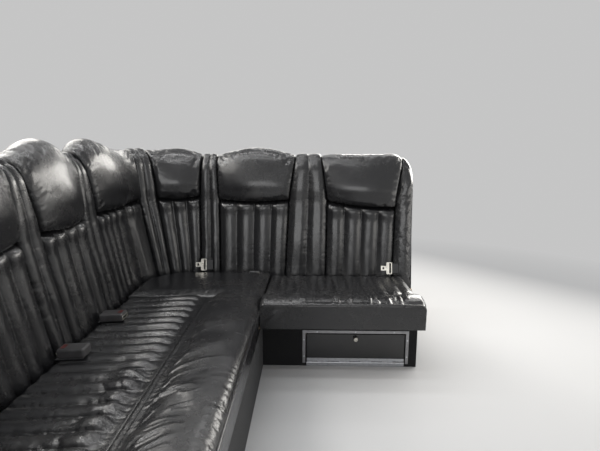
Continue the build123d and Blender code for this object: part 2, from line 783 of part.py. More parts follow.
def buckle():
    """Push-button buckle at the origin, mouth towards +x, lying on z = 0."""
    body = Pos(0, 0, buckle_thickness / 2) * Box(buckle_length, buckle_width, buckle_thickness)
    body = fillet(body.edges(), buckle_fillet)
    mouth = Pos(buckle_length / 2, 0, buckle_thickness * 0.42) * Box(
        2 * buckle_mouth_depth, buckle_width - 2 * buckle_side_wall, buckle_mouth_height)
    button = Pos(buckle_length / 2 - buckle_fillet - button_length / 2, 0, buckle_thickness) * Box(
        button_length, buckle_width - 3 * buckle_side_wall, 2 * button_recess)
    return body - mouth - button


def latch_plate():
    """Metal tongue at the origin, lying flat, its blade towards +x, its slot for the webbing."""
    body = Pos(0, 0, plate_thickness / 2) * Box(plate_length * 0.45, plate_width, plate_thickness)
    blade = Pos(plate_length * 0.4, 0, plate_thickness / 2) * Box(plate_length * 0.5, plate_width * 0.38, plate_thickness)
    window = Pos(plate_length * 0.46, 0, 0) * Box(9.0, 11.0, 30.0)
    slot = Pos(-plate_length * 0.08, 0, 0) * Box(plate_slot_width, webbing_width + 3.0, 30.0)
    body = fillet(body.edges().filter_by(Axis.Z), 6.0)
    return body + blade - window - slot


def webbing(start, end):
    """Flat strap along x, lying on z = 0."""
    return Pos((start + end) / 2, 0, webbing_thickness / 2) * Box(end - start, webbing_width, webbing_thickness)


def on_side_cushion(y):
    """Frame on the crest of the nearest side channel: its x runs from the crease up the cushion."""
    pitch = (side_channels_end - near) / side_channel_count
    crest_y = near + (int((y - near) / pitch) + 0.5) * pitch
    rise = seat_seam_height - crease_height + seat_channel_rise
    run_in = side_seat_seam - foot_u
    return Plane(origin=(left + foot_u, crest_y, crease_height + belt_gap), x_dir=(run_in, 0, rise),
                 z_dir=(-rise, 0, run_in))


def on_corner_cushion(x):
    """The same on the flat top of the corner cushion, at the crease of the cross bench."""
    level = corner_cushion_edge + seam_gap + belt_gap
    return Plane(origin=(x, front - foot_u - corner_cushion_crown, level), x_dir=(0, -1, 0), z_dir=(0, 0, 1))


def against_back(x, level):
    """Frame on edge in the cross bench's crease: its x runs to the left, its y leans up against the channels."""
    foot_y = front - foot_u - belt_gap
    level += belt_gap
    top_level = level + plate_width
    top_y = front - face_u(top_level) - channel_rise - plate_thickness - belt_gap
    up = Vector(0, top_y - foot_y, plate_width).normalized()
    inward = Vector(-1, 0, 0).cross(up)
    return Plane(origin=Vector(x, foot_y, level) + up * plate_width / 2, x_dir=(-1, 0, 0), z_dir=inward)


def belts():
    """Buckles on the side cushion, tongues at the crease of the cross bench, and their straps."""
    made = {}
    turned = on_side_cushion(turned_buckle_place)
    lift = webbing_thickness + belt_gap
    made["buckle_1"] = turned * Pos(buckle_rear + buckle_length / 2, 0, lift) * Rot(0, 0, 180) * buckle()
    opened = on_side_cushion(open_buckle_place)
    made["buckle_2"] = opened * Pos(buckle_rear + buckle_length / 2, 0, 0) * buckle()
    folded = turned * webbing(0.0, buckle_rear + buckle_length - buckle_fillet)
    short = opened * webbing(0.0, buckle_rear - belt_gap)
    made["buckle_straps"] = Compound(children=[folded, short])
    flat = on_corner_cushion(flat_plate_place)
    slot_edge = plate_length * 0.45 / 2 + belt_gap
    plates = [flat * Pos(plate_rear, 0, 0) * latch_plate()]
    ends = [flat * webbing(0.0, plate_rear - slot_edge)]
    for x, level in zip(leaning_plate_places, (corner_cushion_edge + seam_gap, crease_height)):
        lean_frame = against_back(x, level)
        plates.append(lean_frame * latch_plate())
        ends.append(lean_frame * webbing(-slot_edge - leaning_strap, -slot_edge))
    made["latch_plates"] = Compound(children=plates)
    made["plate_straps"] = Compound(children=ends)
    return made


# Upright seams: one before each cell and one after the last; they bend where the band beside them does
ends = [0.0]
for cell in cells:
    ends.append(ends[-1] + cell[2])
seam_lines = []
for index, (run, flare) in enumerate(zip(ends, flares)):
    level, valley = next((seam, valley) for kind, name, size, count, seam, valley, crown
                         in cells[max(index - 1, 0):] if kind != "seat")
    seam_lines.append(seam_line(run, level, valley, flare))

nodes = {}
for (kind, name, size, count, seam, valley, crown), line, next_line in zip(cells, seam_lines[:-1], seam_lines[1:]):
    start, end = beside(line, seam_gap / 2), beside(next_line, -seam_gap / 2)
    seams = seam if isinstance(seam, tuple) else (seam, seam)
    if kind == "seat":
        nodes[f"channels_{name}"] = channel_panel(start, end, count, seams)
        nodes[f"pillow_{name}"] = pillow(start, end, seams, crown)
    elif kind == "band":
        nodes[f"band_{name}"] = band(start, end, seam, valley)
    else:
        outer, inner = (end[0], start[0]) if start[0] > 1.0 else (start[0], end[0])
        nodes[name] = end_bolster(start, end, seam, valley, outer, inner)
run = ends[-1]
right_top = cross_valley + shoulder_rise
nodes["pillow_8"] &= shoulder_block(run, run - right_end_width, right_top, 2 * right_pillow_width)

foot_u = face_u(deck_top) + channel_rise + cushion_gap
side_channel_count = round((side_channels_end - near) / channel_pitch)
nodes["side_cushion"] = seat_channels(left + foot_u, left + side_seat_seam, near, side_channels_end,
                                      side_channel_count)
cross_channel_count = round((cross_seat_end - side_front_x) / channel_pitch)
nodes["cross_cushion"] = cross_channels(front - cross_seat_seam, front - foot_u, side_front_x + seam_gap,
                                        cross_seat_end, cross_channel_count)
nodes["side_front_roll"], nodes["cross_front_roll"] = front_rolls()
nodes["corner_cushion"] = corner_cushion()
nodes["side_backboard"], nodes["corner_backboard"], nodes["cross_backboard"] = backboards()
nodes["back_posts"] = back_posts()
nodes["side_deck"], nodes["cross_deck"] = decks()
nodes["side_skirt"] = side_skirt()
nodes.update(base_boards())
nodes["locker_liner"] = locker_liner()
nodes["locker_trim"] = locker_trim()
nodes["locker_hinge"] = locker_hinge_fixed()
nodes["locker_door"], nodes["locker_door_leaf"] = locker_door()
nodes["locker_pull"] = locker_pull()
nodes["floor_brackets"] = floor_brackets()
nodes.update(belts())

os.makedirs("parts", exist_ok=True)
for name, shape in nodes.items():
    export_step(shape, f"parts/{name}.step")
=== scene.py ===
"""Dresses the corner lounge bench: sewn and stuffed leather, plywood base, locker and lap belts."""

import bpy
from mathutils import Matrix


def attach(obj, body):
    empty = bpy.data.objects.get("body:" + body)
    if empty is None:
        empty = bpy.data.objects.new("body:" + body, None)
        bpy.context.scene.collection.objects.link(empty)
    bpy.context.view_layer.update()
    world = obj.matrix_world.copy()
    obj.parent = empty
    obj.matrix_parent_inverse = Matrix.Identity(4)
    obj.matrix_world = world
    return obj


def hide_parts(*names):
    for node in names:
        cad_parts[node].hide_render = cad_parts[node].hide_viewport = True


bl_info = {
    "name": "Corner lounge bench",
    "version": (2, 0, 0),
    "blender": (4, 5, 0),
    "location": "3D View > Sidebar > Lounge bench",
    "description": "Builds the upholstery, belts and locker of a stretched car's corner bench round its frame",
    "category": "Object",
}

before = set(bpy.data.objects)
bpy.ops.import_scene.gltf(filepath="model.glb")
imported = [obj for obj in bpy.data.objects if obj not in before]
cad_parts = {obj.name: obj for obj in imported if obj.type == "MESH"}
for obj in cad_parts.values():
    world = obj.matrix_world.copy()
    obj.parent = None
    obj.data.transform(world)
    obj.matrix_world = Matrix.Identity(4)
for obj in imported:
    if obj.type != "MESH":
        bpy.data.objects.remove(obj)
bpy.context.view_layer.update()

from math import atan2, cos, pi, radians, sin

import bmesh
import bpy
import numpy as np
from bpy.props import FloatProperty, FloatVectorProperty, PointerProperty
from mathutils import Matrix, Vector

ROOT = "bench"

# Plan of the back, as in the frame, in metres: u is the distance in from the wall, and run is the
# distance along the back
CORNER_RADIUS = 0.390
FACE_LINE = 0.140
DECK_TOP = 0.222
CREASE = 0.300
CREASE_FACE = 0.143
LEAN = 0.10
FOAM = 0.050
BOARD_TOP = 0.860
CLEAR = 0.0005
SHOULDER = 0.125
COVER_LOW = DECK_TOP + CLEAR

FACE_RADIUS = CORNER_RADIUS - FACE_LINE
LEAD_ARC = radians(29.0) * FACE_RADIUS
BAND_ARC = radians(19.0) * FACE_RADIUS
CORNER_ARC = pi / 2 * FACE_RADIUS
NEAR_END, SIDE_PILLOW, SIDE_BAND, LEAD = 0.117, 0.264, 0.108, 0.230
LEFT_BAND, MIDDLE_PILLOW, RIGHT_BAND, RIGHT_PILLOW, RIGHT_END = 0.096, 0.343, 0.188, 0.333, 0.087
SIDE_RUN = NEAR_END + 4 * (SIDE_PILLOW + SIDE_BAND) + LEAD
CROSS_RUN = LEFT_BAND + MIDDLE_PILLOW + RIGHT_BAND + RIGHT_PILLOW + RIGHT_END
WIDTH = CORNER_RADIUS + CROSS_RUN
LENGTH = SIDE_RUN + CORNER_RADIUS
LEFT, RIGHT = -WIDTH / 2, WIDTH / 2
NEAR, FRONT = -LENGTH / 2, LENGTH / 2
CORNER_X, CORNER_Y = LEFT + CORNER_RADIUS, FRONT - CORNER_RADIUS

SIDE_SEAM, SIDE_VALLEY, SIDE_CROWN = 0.676, 0.902, 0.958
CROSS_SEAM, CROSS_VALLEY = 0.660, 0.872
LEAD_CROWN = (0.953, 0.945, 0.918)

# Lower seams of the pillows, from their start to their end
SIDE_SEAMS, CROSS_SEAMS, RIGHT_SEAMS = (SIDE_SEAM, SIDE_SEAM), (CROSS_SEAM, CROSS_SEAM), (0.654, 0.624)
LEAD_PILLOW, LAST_PILLOW = "5", "8"

# Cells of the back: kind, node name, width, channels, lower seam, top of its ends, crown
CELLS = [("end", "near_end_bolster", NEAR_END, 1, SIDE_SEAM, SIDE_VALLEY, SIDE_VALLEY)]
for index in range(1, 5):
    CELLS.append(("seat", f"{index}", SIDE_PILLOW, 4, SIDE_SEAMS, SIDE_VALLEY, SIDE_CROWN))
    CELLS.append(("band", f"{index}", SIDE_BAND, 2, SIDE_SEAM, SIDE_VALLEY, SIDE_VALLEY))
CELLS += [
    ("seat", LEAD_PILLOW, LEAD + LEAD_ARC, 5, SIDE_SEAMS, SIDE_VALLEY, LEAD_CROWN),
    ("band", "5", BAND_ARC, 2, SIDE_SEAM, SIDE_VALLEY, SIDE_VALLEY),
    ("seat", "6_corner", CORNER_ARC - LEAD_ARC - BAND_ARC, 3, SIDE_SEAMS, SIDE_VALLEY, 0.908),
    ("band", "6", LEFT_BAND, 2, CROSS_SEAM, CROSS_VALLEY, CROSS_VALLEY),
    ("seat", "7", MIDDLE_PILLOW, 4, CROSS_SEAMS, CROSS_VALLEY, 0.915),
    ("band", "7", RIGHT_BAND, 2, CROSS_SEAM, CROSS_VALLEY, CROSS_VALLEY),
    ("seat", LAST_PILLOW, RIGHT_PILLOW, 4, RIGHT_SEAMS, CROSS_VALLEY, 0.892),
    ("end", "right_end_bolster", RIGHT_END, 1, CROSS_SEAM, CROSS_VALLEY, CROSS_VALLEY),
]
BACK_RUN = sum(cell[2] for cell in CELLS)
# How far each upright seam moves along the run between the pillows' lower seam and the top
FLARES = [0.0, -0.060, *(-0.010, -0.060) * 4, -0.008, -0.020, 0.012, -0.012, 0.032, -0.032, 0.034, 0.0]
# Distance along the run, and how far a seam there moves on its way down to the deck
DRIFT = np.array([(0.0, 0.0), (0.117, 0.0), (0.450, 0.060), (1.500, 0.070), (1.800, 0.090), (2.228, 0.0),
                  (2.340, 0.0), (2.660, -0.022), (2.860, -0.006), (3.187, -0.012), (3.280, 0.0)])
# Grooves between the channels under the pillow that leads into the corner, as shares of its width
LEAD_GROOVES = (0.0, 0.154, 0.294, 0.477, 0.729, 1.0)

# Plan of the cushions
FOOT_U = 0.1658
SIDE_SEAT_SEAM, SIDE_SEAT_FRONT = 0.505, 0.738
CROSS_SEAT_SEAM, CROSS_SEAT_FRONT = 0.497, 0.660
VALANCE_LOW = 0.200
VALANCE = 0.012
CORNER_DEPTH = 0.372
SIDE_PLEATS_END = FRONT - CREASE_FACE - CORNER_DEPTH
SIDE_FRONT_X = LEFT + SIDE_SEAT_FRONT
CROSS_FRONT_Y = FRONT - CROSS_SEAT_FRONT
CROSS_END_X = RIGHT - 0.050
ROLL_END_SEAM_X = CROSS_END_X - 0.085
PLEAT_END_U = 0.488
PLEAT_PITCH = 0.057
PLEAT_FOOT, PLEAT_CLIMB = 0.287, 0.020

# Locker and belts
RISER_Y = FRONT - 0.526
LOCKER_HIGH_X = CROSS_END_X - 0.018 - 0.029
LOCKER_LOW_X = LOCKER_HIGH_X - 0.424
LOCKER_HEAD = 0.150
BUCKLE_LENGTH, BUCKLE_THICKNESS = 0.086, 0.030
BUCKLE_REAR = 0.006
BUCKLE_TILT = atan2(PLEAT_CLIMB, SIDE_SEAT_SEAM - FOOT_U)
WEBBING_LIFT = 0.0028

# Sewing and stuffing
COVERS = []             # name, points, where it is sewn, swell and slack of each cover, for the stuffing
SEAM_GROOVE = 0.006     # depth of the groove between neighbouring covers
HELD_FROM = 0.93        # share of a cover's front path from which it is tacked down behind the board
INSIDE = 0.9999999      # keeps a channel's last point inside it
STUFFING_FRAMES = 18

# Camera, worked out from the photograph's vanishing point and horizon
PHOTO_WIDTH_PIXELS, FOCAL_PIXELS = 600.0, 460.0
CAMERA_FROM_WALL, CAMERA_FROM_PARTITION, CAMERA_HEIGHT = 0.94, 2.35, 0.967
CAMERA_DOWN, CAMERA_LEFT = radians(11.01), radians(1.467)

# Lamps: name, place, target, width, height, watts, colour
WHITE, WARM = (1.0, 1.0, 1.0), (1.0, 0.97, 0.92)
LAMPS = [
    ("ceiling_strip_1", (-0.80, -0.45, 2.25), (-0.80, -0.25, 0.0), 2.6, 0.05, 12, WHITE),
    ("ceiling_strip_2", (-0.80, 0.20, 2.25), (-0.80, 0.40, 0.0), 2.6, 0.05, 12, WHITE),
    ("ceiling_strip_3", (-0.80, 0.85, 2.25), (-0.80, 1.05, 0.0), 2.6, 0.05, 12, WHITE),
    ("front_strip", (0.50, 2.00, 2.25), (0.50, 1.00, 0.3), 1.6, 0.06, 4, WHITE),
    ("front_right_window", (1.45, 2.05, 1.12), (-0.60, 0.20, 0.75), 3.0, 0.80, 62, WARM),
    ("front_window", (-0.40, 3.20, 1.68), (-0.40, 0.40, 0.80), 1.8, 0.30, 6, WARM),
    ("left_window", (-1.25, 0.40, 1.62), (-0.15, 0.40, 0.35), 2.6, 0.80, 27, WARM),
    ("side_window", (2.30, 0.20, 0.42), (-0.60, 0.10, 0.50), 1.8, 0.40, 6, WARM),
    ("rear_window", (0.10, -2.80, 0.95), (0.10, 1.00, 0.60), 2.2, 1.2, 24, WHITE),
]


def sizes():
    """The sizes set in the sidebar."""
    return bpy.context.scene.lounge_sizes


def looks():
    """The colours and finishes set in the sidebar."""
    return bpy.context.scene.lounge_looks


class LoungeSizes(bpy.types.PropertyGroup):
    """Sizes of the padding that can be changed by eye."""
    mesh_step: FloatProperty(name="Mesh step", description="Spacing of the points of a sewn cover",
                             default=0.0031, min=0.002, max=0.02, unit="LENGTH")
    channel_rise: FloatProperty(name="Channel rise", description="How far a channel of the back stands proud",
                                default=0.013, min=0.0, max=0.03, unit="LENGTH")
    band_rise: FloatProperty(name="Band rise", description="How far the channels of a band stand proud",
                             default=0.012, min=0.0, max=0.03, unit="LENGTH")
    pleat_rise: FloatProperty(name="Pleat rise", description="How far a pleat of a cushion stands proud",
                              default=0.013, min=0.0, max=0.03, unit="LENGTH")
    pucker: FloatProperty(name="Pucker", description="Depth of the puckers along the seams",
                          default=0.0026, min=0.0, max=0.01, unit="LENGTH")
    pipe_radius: FloatProperty(name="Piping radius", description="Radius of the piping along the seat's front",
                               default=0.0042, min=0.001, max=0.01, unit="LENGTH")
    pressure: FloatProperty(name="Stuffing pressure", description="Pressure inside a cover while it is stuffed",
                            default=4.0, min=0.0, max=20.0)
    slack: FloatProperty(name="Slack", description="Share by which the leather is cut larger than the pad",
                         default=0.018, min=0.0, max=0.1, subtype="FACTOR")


class LoungeLooks(bpy.types.PropertyGroup):
    """Colours and finishes."""
    leather: FloatVectorProperty(name="Leather", description="Colour of the leather", subtype="COLOR",
                                 default=(0.011, 0.011, 0.012), size=3, min=0.0, max=1.0)
    leather_worn: FloatVectorProperty(name="Worn leather", description="Colour where the leather is rubbed",
                                      subtype="COLOR", default=(0.026, 0.025, 0.024), size=3, min=0.0, max=1.0)
    leather_roughness: FloatProperty(name="Leather roughness", description="Roughness of the leather",
                                     default=0.25, min=0.0, max=1.0, subtype="FACTOR")
    plywood: FloatVectorProperty(name="Plywood", description="Colour of the plywood", subtype="COLOR",
                                 default=(0.50, 0.36, 0.22), size=3, min=0.0, max=1.0)
    carpet: FloatVectorProperty(name="Carpet", description="Colour of the carpet on the base", subtype="COLOR",
                                default=(0.013, 0.013, 0.014), size=3, min=0.0, max=1.0)
    panel: FloatVectorProperty(name="Locker panel", description="Colour of the locker's door", subtype="COLOR",
                               default=(0.010, 0.010, 0.011), size=3, min=0.0, max=1.0)
    floor: FloatVectorProperty(name="Floor", description="Colour of the studio floor", subtype="COLOR",
                               default=(0.50, 0.50, 0.50), size=3, min=0.0, max=1.0)
    backdrop: FloatVectorProperty(name="Backdrop", description="Colour of the backdrop", subtype="COLOR",
                                  default=(0.56, 0.56, 0.56), size=3, min=0.0, max=1.0)


# Materials

class Nodes:
    """Small helper that fills an empty node tree: a value is a plain one or another node's output."""

    def __init__(self, owner, output_kind):
        owner.use_nodes = True
        self.owner, self.tree = owner, owner.node_tree
        self.tree.nodes.clear()
        self.output = self.add(output_kind)

    def plug(self, socket, value):
        if isinstance(value, bpy.types.NodeSocket):
            self.tree.links.new(value, socket)
        else:
            socket.default_value = value

    def add(self, kind, **values):
        """New node with its settings and inputs, by their names with underscores for spaces."""
        node = self.tree.nodes.new(kind)
        for key, value in values.items():
            if hasattr(node, key):
                setattr(node, key, value)
            else:
                self.plug(node.inputs[key.replace("_", " ")], value)
        return node

    def math(self, operation, a, b=0.0):
        node = self.add("ShaderNodeMath", operation=operation)
        self.plug(node.inputs[0], a)
        self.plug(node.inputs[1], b)
        return node.outputs[0]

    def blend(self, factor, first, second):
        """Sends a blend of two shaders to the output."""
        mix = self.add("ShaderNodeMixShader")
        for socket, value in zip(mix.inputs, (factor, first.outputs[0], second.outputs[0])):
            self.plug(socket, value)
        self.plug(self.output.inputs[0], mix.outputs[0])


class Finish(Nodes):
    """A new material with one main shader and patterns on object coordinates."""

    def __init__(self, name):
        super().__init__(bpy.data.materials.new(name), "ShaderNodeOutputMaterial")
        self.shader = self.add("ShaderNodeBsdfPrincipled")
        self.plug(self.output.inputs[0], self.shader.outputs[0])
        self.coordinate = self.add("ShaderNodeTexCoord")

    def set(self, **values):
        for key, value in values.items():
            self.plug(self.shader.inputs[key.replace("_", " ")], value)

    def mapped(self, scale=(1, 1, 1), rotation=(0, 0, 0)):
        place_of = self.coordinate.outputs["Object"]
        return self.add("ShaderNodeMapping", Vector=place_of, Scale=scale, Rotation=rotation).outputs["Vector"]

    def noise(self, vector, scale, detail=3.0, roughness=0.5):
        return self.add("ShaderNodeTexNoise", Vector=vector, Scale=scale, Detail=detail,
                        Roughness=roughness).outputs["Fac"]

    def ramp(self, source, low, high, out_low=0.0, out_high=1.0):
        return self.add("ShaderNodeMapRange", Value=source, From_Min=low, From_Max=high, To_Min=out_low,
                        To_Max=out_high).outputs["Result"]

    def mix(self, factor, a, b):
        """Blend of two plain colours."""
        node = self.add("ShaderNodeMix", data_type="RGBA", Factor=factor)
        self.plug(node.inputs[6], (*a, 1.0))
        self.plug(node.inputs[7], (*b, 1.0))
        return node.outputs[2]

    def bump(self, height, distance, strength=1.0, **under):
        return self.add("ShaderNodeBump", Strength=strength, Distance=distance, Height=height,
                        **under).outputs["Normal"]


def scaled(colour, share, lift=0.0):
    """A lighter or darker colour."""
    return tuple(min(1.0, c * share + lift) for c in colour)


def leather_material(name, colour, worn, roughness, grain=1.0):
    """Black hide: pebbled grain, fine creases, rubbed patches and a soft finish coat."""
    made = Finish(name)
    space = made.mapped()
    patches = made.noise(space, 5.0, 4.0, 0.6)
    rub = made.noise(space, 38.0, 5.0, 0.65)
    wear = made.math("MULTIPLY", made.ramp(patches, 0.50, 0.72), made.ramp(rub, 0.40, 0.70))
    shine = made.ramp(patches, 0.30, 0.75, roughness - 0.05, roughness + 0.06)
    fine = made.ramp(rub, 0.30, 0.70, -0.03, 0.04)
    cell = made.add("ShaderNodeTexVoronoi", feature="DISTANCE_TO_EDGE", Vector=space, Scale=620.0,
                    Randomness=0.95)
    pebble = made.ramp(cell.outputs["Distance"], 0.0, 0.18)
    lines = made.noise(made.mapped((1, 1, 0.35)), 140.0, 4.0, 0.6)
    crease = made.ramp(made.math("ABSOLUTE", made.math("SUBTRACT", lines, 0.5)), 0.0, 0.06)
    broad = made.bump(made.noise(space, 30.0, 3.0, 0.5), 0.0012 * grain, 0.5)
    creased = made.bump(crease, 0.00016 * grain, 0.5, Normal=broad)
    made.set(Base_Color=made.mix(wear, colour, worn), Roughness=made.math("ADD", shine, fine),
             Normal=made.bump(pebble, 0.00011 * grain, 0.6, Normal=creased),
             Specular_IOR_Level=0.42, Coat_Weight=0.50, Coat_Roughness=0.17, Coat_IOR=1.5)
    return made.owner


def plywood_material(name, colour, upright=False):
    """Sealed birch plywood: grain along the bench or upright, faint rings and pores."""
    made = Finish(name)
    figure = made.noise(made.mapped((3.0, 3.0, 0.35) if upright else (3.0, 0.35, 3.0)), 9.0, 6.0, 0.62)
    pores = made.noise(made.mapped((60.0, 60.0, 2.0) if upright else (60.0, 2.0, 60.0)), 9.0, 3.0, 0.5)
    tone = made.math("ADD", made.ramp(figure, 0.3, 0.7, 0.0, 0.8), made.ramp(pores, 0.45, 0.75, 0.0, 0.25))
    made.set(Base_Color=made.mix(tone, colour, scaled(colour, 0.62)),
             Roughness=made.ramp(pores, 0.3, 0.7, 0.48, 0.62), Normal=made.bump(pores, 0.0004, 0.5))
    return made.owner


def carpet_material(name, colour):
    """Short looped carpet glued on the boards: tufts, lint and trodden patches."""
    made = Finish(name)
    space = made.mapped()
    tufts = made.add("ShaderNodeTexVoronoi", feature="F1", Vector=space, Scale=430.0, Randomness=0.8)
    pile = made.ramp(tufts.outputs["Distance"], 0.0, 0.7, 1.0, 0.0)
    worn = made.noise(space, 7.0, 4.0, 0.6)
    tone = made.math("MULTIPLY", pile, made.ramp(worn, 0.3, 0.7, 0.5, 1.0))
    made.set(Base_Color=made.mix(tone, scaled(colour, 0.5), scaled(colour, 1.7)),
             Normal=made.bump(pile, 0.0012, 0.8, Normal=made.bump(worn, 0.001, 0.4)),
             Roughness=0.95, Sheen_Weight=0.12, Sheen_Roughness=0.5, Specular_IOR_Level=0.2)
    return made.owner


def metal_material(name, colour, roughness, brushed=(1.0, 60.0, 60.0), scratch=0.00005):
    """Worn metal with fine directional scratches and a few dull spots."""
    made = Finish(name)
    lines = made.noise(made.mapped(brushed), 30.0, 4.0, 0.6)
    spots = made.noise(made.mapped(), 60.0, 4.0, 0.6)
    rough = made.math("ADD", made.ramp(lines, 0.3, 0.7, roughness - 0.05, roughness + 0.08),
                      made.ramp(spots, 0.5, 0.8, 0.0, 0.08))
    made.set(Base_Color=made.mix(made.ramp(spots, 0.45, 0.75), colour, scaled(colour, 0.78)),
             Roughness=rough, Normal=made.bump(lines, scratch, 0.6), Metallic=1.0)
    return made.owner


def plastic_material(name, colour, roughness, texture=0.00012, coat=0.0):
    """Moulded plastic with a fine spark texture and handling marks."""
    made = Finish(name)
    space = made.mapped()
    smears = made.noise(space, 24.0, 4.0, 0.6)
    sparks = made.noise(space, 1400.0, 2.0, 0.5)
    made.set(Base_Color=made.mix(made.ramp(smears, 0.4, 0.8), colour, scaled(colour, 1.5, 0.006)),
             Roughness=made.ramp(smears, 0.3, 0.75, roughness, roughness + 0.12),
             Normal=made.bump(sparks, texture, 0.6), Coat_Weight=coat, Coat_Roughness=0.08)
    return made.owner


def webbing_material(name, colour):
    """Woven belt webbing: close ribs and cords."""
    made = Finish(name)
    space = made.mapped(rotation=(0.0, 0.0, radians(45.0)))
    ribs, cords = (made.add("ShaderNodeTexWave", wave_type="BANDS", bands_direction=axis, Vector=space,
                            Scale=170.0, Distortion=distortion).outputs["Fac"]
                   for axis, distortion in (("X", 0.8), ("Y", 0.5)))
    weave = made.math("MULTIPLY", ribs, made.ramp(cords, 0, 1, 0.4, 1.0))
    fuzz = made.noise(made.mapped(), 60.0, 3.0, 0.6)
    tone = made.math("MULTIPLY", weave, made.ramp(fuzz, 0.3, 0.7, 0.6, 1.0))
    made.set(Base_Color=made.mix(tone, scaled(colour, 0.5), colour), Normal=made.bump(weave, 0.0004, 0.8),
             Roughness=0.6, Sheen_Weight=0.25)
    return made.owner


def make_finish(name):
    """Makes a finish of the table by its name."""
    look = looks()
    hide, worn, rough = tuple(look.leather), tuple(look.leather_worn), look.leather_roughness
    makers = {
        "hide": lambda key: leather_material(key, hide, worn, rough),
        "piping": lambda key: leather_material(key, hide, worn, rough - 0.05, 0.6),
        "plywood": lambda key: plywood_material(key, tuple(look.plywood)),
        "plywood_upright": lambda key: plywood_material(key, tuple(look.plywood), upright=True),
        "liner": lambda key: plywood_material(key, (0.10, 0.075, 0.055)),
        "carpet": lambda key: carpet_material(key, tuple(look.carpet)),
        "panel": lambda key: plastic_material(key, tuple(look.panel), 0.16, 0.00001, 0.4),
        "buckle": lambda key: plastic_material(key, (0.030, 0.029, 0.030), 0.38),
        "button": lambda key: plastic_material(key, (0.060, 0.008, 0.007), 0.32),
        "chrome": lambda key: metal_material(key, (0.56, 0.54, 0.49), 0.27, (1, 1, 1), 0.00002),
        "trim": lambda key: metal_material(key, (0.30, 0.30, 0.31), 0.42, (1.0, 90.0, 90.0)),
        "steel": lambda key: metal_material(key, (0.56, 0.57, 0.60), 0.38, (8, 8, 8), 0.0001),
        "webbing": lambda key: webbing_material(key, (0.030, 0.030, 0.033)),
    }
    return makers[name](f"lounge_{name}")


def finish(name):
    """The named finish, made the first time that it is asked for."""
    return bpy.data.materials.get(f"lounge_{name}") or make_finish(name)


# Shared geometry

def face_u(z):
    """How far in from the wall the plain face of the padding is at a height."""
    return CREASE_FACE - LEAN * (z - CREASE)


def board_u(z):
    """The same for the front of the board."""
    return face_u(z) - FOAM


def place(run, u, z):
    """Points at distances along the run, u in from the wall, at height z: an array (..., 3)."""
    run, u, z = np.broadcast_arrays(np.asarray(run, float), np.asarray(u, float), np.asarray(z, float))
    angle = pi - np.clip((run - SIDE_RUN) / FACE_RADIUS, 0.0, pi / 2)
    reach = CORNER_RADIUS - u
    spans = [run <= SIDE_RUN, run <= SIDE_RUN + CORNER_ARC]
    x = np.select(spans, [LEFT + u, CORNER_X + reach * np.cos(angle)], CORNER_X + run - SIDE_RUN - CORNER_ARC)
    y = np.select(spans, [NEAR + run, CORNER_Y + reach * np.sin(angle)], FRONT - u)
    return np.stack([x, y, z], axis=-1)


def side_at(u, v, z):
    """Points of the side seat: u in from its wall, at v along the bench."""
    u, v, z = np.broadcast_arrays(u, v, z)
    return np.stack([LEFT + u, v, z], axis=-1)


def cross_at(u, v, z):
    """Points of the cross seat: u in from the partition, at v across the car."""
    u, v, z = np.broadcast_arrays(u, v, z)
    return np.stack([v, FRONT - u, z], axis=-1)


def seam_lines():
    """Upright seams: run and height of the bend, the slopes along the run above and below it, and the top."""
    lines, run = [], 0.0
    for number, flare in enumerate(FLARES):
        level, top = next((cell[4], cell[5]) for cell in CELLS[max(number - 1, 0):] if cell[0] != "seat")
        drift = np.interp(run, DRIFT[:, 0], DRIFT[:, 1])
        lines.append((run, level, flare / (top - level), -drift / (level - DECK_TOP), top))
        run += CELLS[number][2] if number < len(CELLS) else 0.0
    return lines


def seam_at(line, z):
    run, level, above, below = line[:4]
    return run + (z - level) * np.where(z > level, above, below)


def between(start, end, share, z):
    """Distance along the run at a share of the way between two upright seams, just clear of both."""
    low, high = seam_at(start, z) + CLEAR, seam_at(end, z) - CLEAR
    return low + (high - low) * share


def smooth_step(value):
    value = np.clip(value, 0.0, 1.0)
    return value * value * (3 - 2 * value)


def hump(value, middle, width):
    """Smooth bump of height 1."""
    return np.exp(-((value - middle) / width) ** 2)


def fading(distance, reach):
    return np.exp(-distance / reach)


def cloud(x, y, seed):
    """Smooth random field between -1 and 1 over two arrays, the same on each run."""
    x, y = np.broadcast_arrays(np.asarray(x, float), np.asarray(y, float))
    table = np.random.RandomState(seed).uniform(-1, 1, (64, 64))
    i, j = np.floor(x).astype(int), np.floor(y).astype(int)
    fx, fy = smooth_step(x - i), smooth_step(y - j)
    a, b = table[i % 64, j % 64], table[(i + 1) % 64, j % 64]
    c, d = table[i % 64, (j + 1) % 64], table[(i + 1) % 64, (j + 1) % 64]
    return (a * (1 - fx) + b * fx) * (1 - fy) + (c * (1 - fx) + d * fx) * fy


def folds(x, y, seed):
    """Sharp-crested folds between 0 and 1, made from two smooth fields."""
    ridge = np.clip(1 - np.abs(cloud(x, y, seed)) * 2.2, 0, 1) ** 1.5
    return ridge * (0.6 + 0.4 * cloud(x * 0.4, y * 0.4, seed + 7))


def scallop(share, sharp=0.5):
    """Cross-section of one stuffed channel, from seam to seam, between 0 and 1."""
    return np.clip(1 - np.abs(2 * (share % 1.0) - 1) ** 2.2, 0, 1) ** sharp


